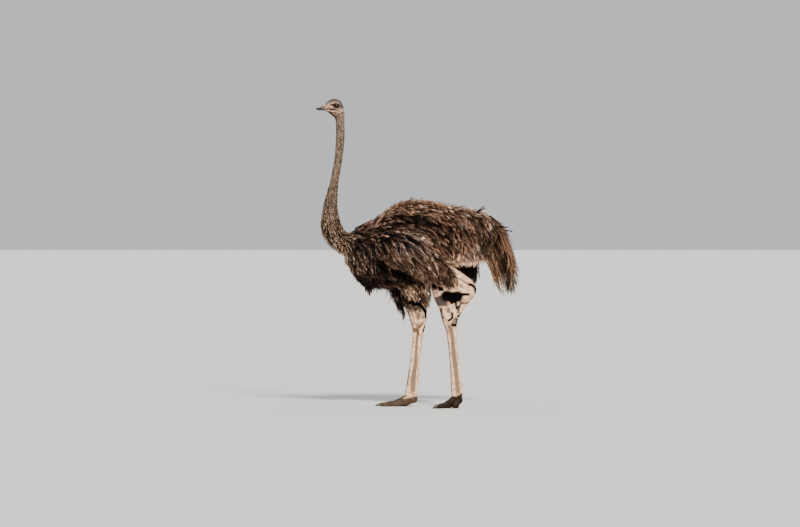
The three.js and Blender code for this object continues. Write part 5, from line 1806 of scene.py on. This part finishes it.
class Growth(Wiring):
    """A tree of geometry nodes that sets a bent spike on every point of a mesh."""

    family = "GeometryNode"

    def __init__(self, name):
        self.tree = bpy.data.node_groups.new(name, "GeometryNodeTree")
        sockets = self.tree.interface
        sockets.new_socket("Geometry", in_out="INPUT", socket_type="NodeSocketGeometry")
        self.inputs = {}
        for label, kind in (("Thickness", "Float"), ("Bend", "Float"), ("Finish", "Material")):
            socket = sockets.new_socket(label, in_out="INPUT", socket_type=f"NodeSocket{kind}")
            self.inputs[label] = socket.identifier
        sockets.new_socket("Geometry", in_out="OUTPUT", socket_type="NodeSocketGeometry")
        entry = self.tree.nodes.new("NodeGroupInput")
        points, thick, bend, finish = (Signal(self.tree, socket) for socket in list(entry.outputs)[:4])
        top = self.node("ShaderNodeCombineXYZ", x=bend, z=1.0)
        arc = self.node("CurveQuadraticBezier", resolution=BRISTLE_STEPS, start=(0, 0, 0),
                        middle=(0, 0, 0.55), end=top)
        along = self.node("SplineParameter")
        ring = self.node("CurvePrimitiveCircle", resolution=BRISTLE_SIDES, radius=1.0)
        spike = self.node("CurveToMesh", curve=arc, profile_curve=ring, scale=(1.02 - along) * thick,
                          fill_caps=True)
        spot = self.node("InputPosition")
        height = self.node("ShaderNodeSeparateXYZ", out=2, vector=spot)
        spike = self.store(spike, "spot", "FLOAT_VECTOR", spot)
        spike = self.store(spike, "reach", "FLOAT", height * 0.6 + 0.4)
        turn = self.node("FunctionNodeAlignRotationToVector", {"axis": "Z"}, vector=self.named("direction"))
        turn = self.node("FunctionNodeAlignRotationToVector", {"axis": "X", "pivot_axis": "Z"}, rotation=turn,
                         vector=self.named("inward"))
        size = self.node("InputNamedAttribute", {"data_type": "FLOAT"}, name="size")
        spikes = self.node("InstanceOnPoints", points=points, instance=spike, rotation=turn, scale=size)
        spikes = self.node("RealizeInstances", geometry=spikes)
        across = {"operation": "MULTIPLY"}
        across = self.node("ShaderNodeVectorMath", across, _0=self.named("spot"), _1=(PATCH, 0, 0))
        height = self.node("ShaderNodeSeparateXYZ", out=2, vector=self.named("spot"))
        up = self.node("ShaderNodeCombineXYZ", y=height * PATCH)
        place = self.named("place")
        for step in (across, up):
            place = self.node("ShaderNodeVectorMath", {"operation": "ADD"}, _0=place, _1=step)
        spikes = self.store(spikes, "OFBake", "FLOAT2", place, "CORNER")
        spikes = self.node("SetMaterial", geometry=spikes, material=finish)
        leave = self.tree.nodes.new("NodeGroupOutput")
        self.tree.links.new(spikes.socket, leave.inputs[0])

    def named(self, label):
        return self.node("InputNamedAttribute", {"data_type": "FLOAT_VECTOR"}, name=label)

    def store(self, geometry, label, kind, value, domain="POINT"):
        settings = {"data_type": kind, "domain": domain}
        return self.node("StoreNamedAttribute", settings, geometry=geometry, name=label, value=value)

    def piece(self, name, finish, thickness, bend, roots, vectors, **numbers):
        """Grows a spike on each root, which has vectors and numbers of its own."""
        mesh = bpy.data.meshes.new(name)
        mesh.from_pydata(roots.tolist(), [], [])
        piece = placed(name, mesh)
        for label, value in vectors.items():
            layer = mesh.attributes.new(label, "FLOAT_VECTOR", "POINT")
            layer.data.foreach_set("vector", np.ascontiguousarray(value, dtype=np.float32).ravel())
        keep(piece, **numbers)
        grower = piece.modifiers.new("growth", "NODES")
        grower.node_group = self.tree
        for label, value in (("Thickness", thickness), ("Bend", bend), ("Finish", finish)):
            grower[self.inputs[label]] = value
        grown = piece.evaluated_get(bpy.context.evaluated_depsgraph_get())
        piece.data = bpy.data.meshes.new_from_object(grown)
        piece.modifiers.remove(grower)
        fitted(piece)


growth = Growth("bristles")
HEAD_SPACING = 2.7 * MM
HEAD_SPAN = (27.6, 35.4)  # row numbers between which they grow
roots, _, places = sown(body_points, HEAD_SPAN, HEAD_SPACING, BILL_ROOT, rng, sides=2 * BODY_SIDES)
roots, normals = nearest_skin(roots)
x, y, z = roots.T
crown, throat = crown_share(x, z), smooth(1.830, 1.805, z)
dense = 0.35 + 0.65 * np.maximum(crown, 0.6 * throat)
kept = (lid_share(x, z) > 1.5) & (rng.uniform(0, 1, len(roots)) < dense)
roots, normals, places, crown, throat = (values[kept] for values in (roots, normals, places, crown, throat))
backwards = np.array([1.0, 0, 0]) * (1 - 0.9 * throat[:, None]) + np.array([0.1, 0, -1.0]) * throat[:, None]
lies = level(backwards - np.array([0, 0, 0.5]) * (1 - crown[:, None]), normals)
turn = 0.5 * ripple(roots, 0.008, 23) + rng.normal(0, 0.35, len(roots))
lies = unit(lies + np.cross(normals, lies) * turn[:, None])
rise = 0.30 + 0.06 * crown + rng.normal(0, 0.10, len(roots))
directions = unit(lies + normals * rise[:, None])
x, y, z = roots.T
nape = smooth(-0.490, -0.472, x)
sizes = (0.0042 + (0.0070 - 0.003 * nape) * crown + 0.006 * throat) * rng.uniform(0.6, 1.35, len(roots))
tone = rng.uniform(0.3, 1.5, len(roots)) * (1 + 0.6 * crown * ripple(roots, 0.009, 41))
# The same painted shade as on the face's lines darkens the bristles here.
tone = tone * (1 - 0.4 * crown * nape) * (1 - 0.9 * face_shade_lines(x, z))
places = np.column_stack([places, 0 * crown])
growth.piece("head_bristles", neck_plumage, 0.032, 0.22, roots,
             {"direction": directions, "inward": lies, "place": places}, size=sizes, tone=tone,
             warmth=0.15 + 0 * sizes, paleness=rng.uniform(0, 1, len(sizes)))

LASHES, LASH_LENGTH = 30, 10.5 * MM
lash = Finish("lash", roughness=0.5)
lash.shader.inputs["Base Color"].default_value = (0.010, 0.008, 0.007, 1)
for side in (LEFT, RIGHT):
    turn = np.linspace(0.10, 0.86, LASHES) * math.pi + rng.normal(0, 0.01, LASHES)
    roots, radial = lid_curve(turn, side)
    fan = np.stack([0.7 * np.cos(turn), np.full(LASHES, side * 0.55), np.full(LASHES, 0.25)], 1)
    directions = unit(radial * 0.9 + fan + rng.normal(0, 0.07, (LASHES, 3)))
    upwards = np.array([0.0, 0, 1.0]) * np.ones((LASHES, 1))
    places = np.column_stack([turn / 8 + 0.2, 0.5 + 0 * turn, 0 * turn])
    growth.piece(f"lashes_{hands[side]}", lash.material, 0.030, 0.25, roots + radial * 1.6 * MM,
                 {"direction": directions, "inward": upwards, "place": places},
                 size=LASH_LENGTH * rng.uniform(0.8, 1.1, LASHES), tone=1 + 0 * turn, warmth=0 * turn,
                 paleness=0 * turn)
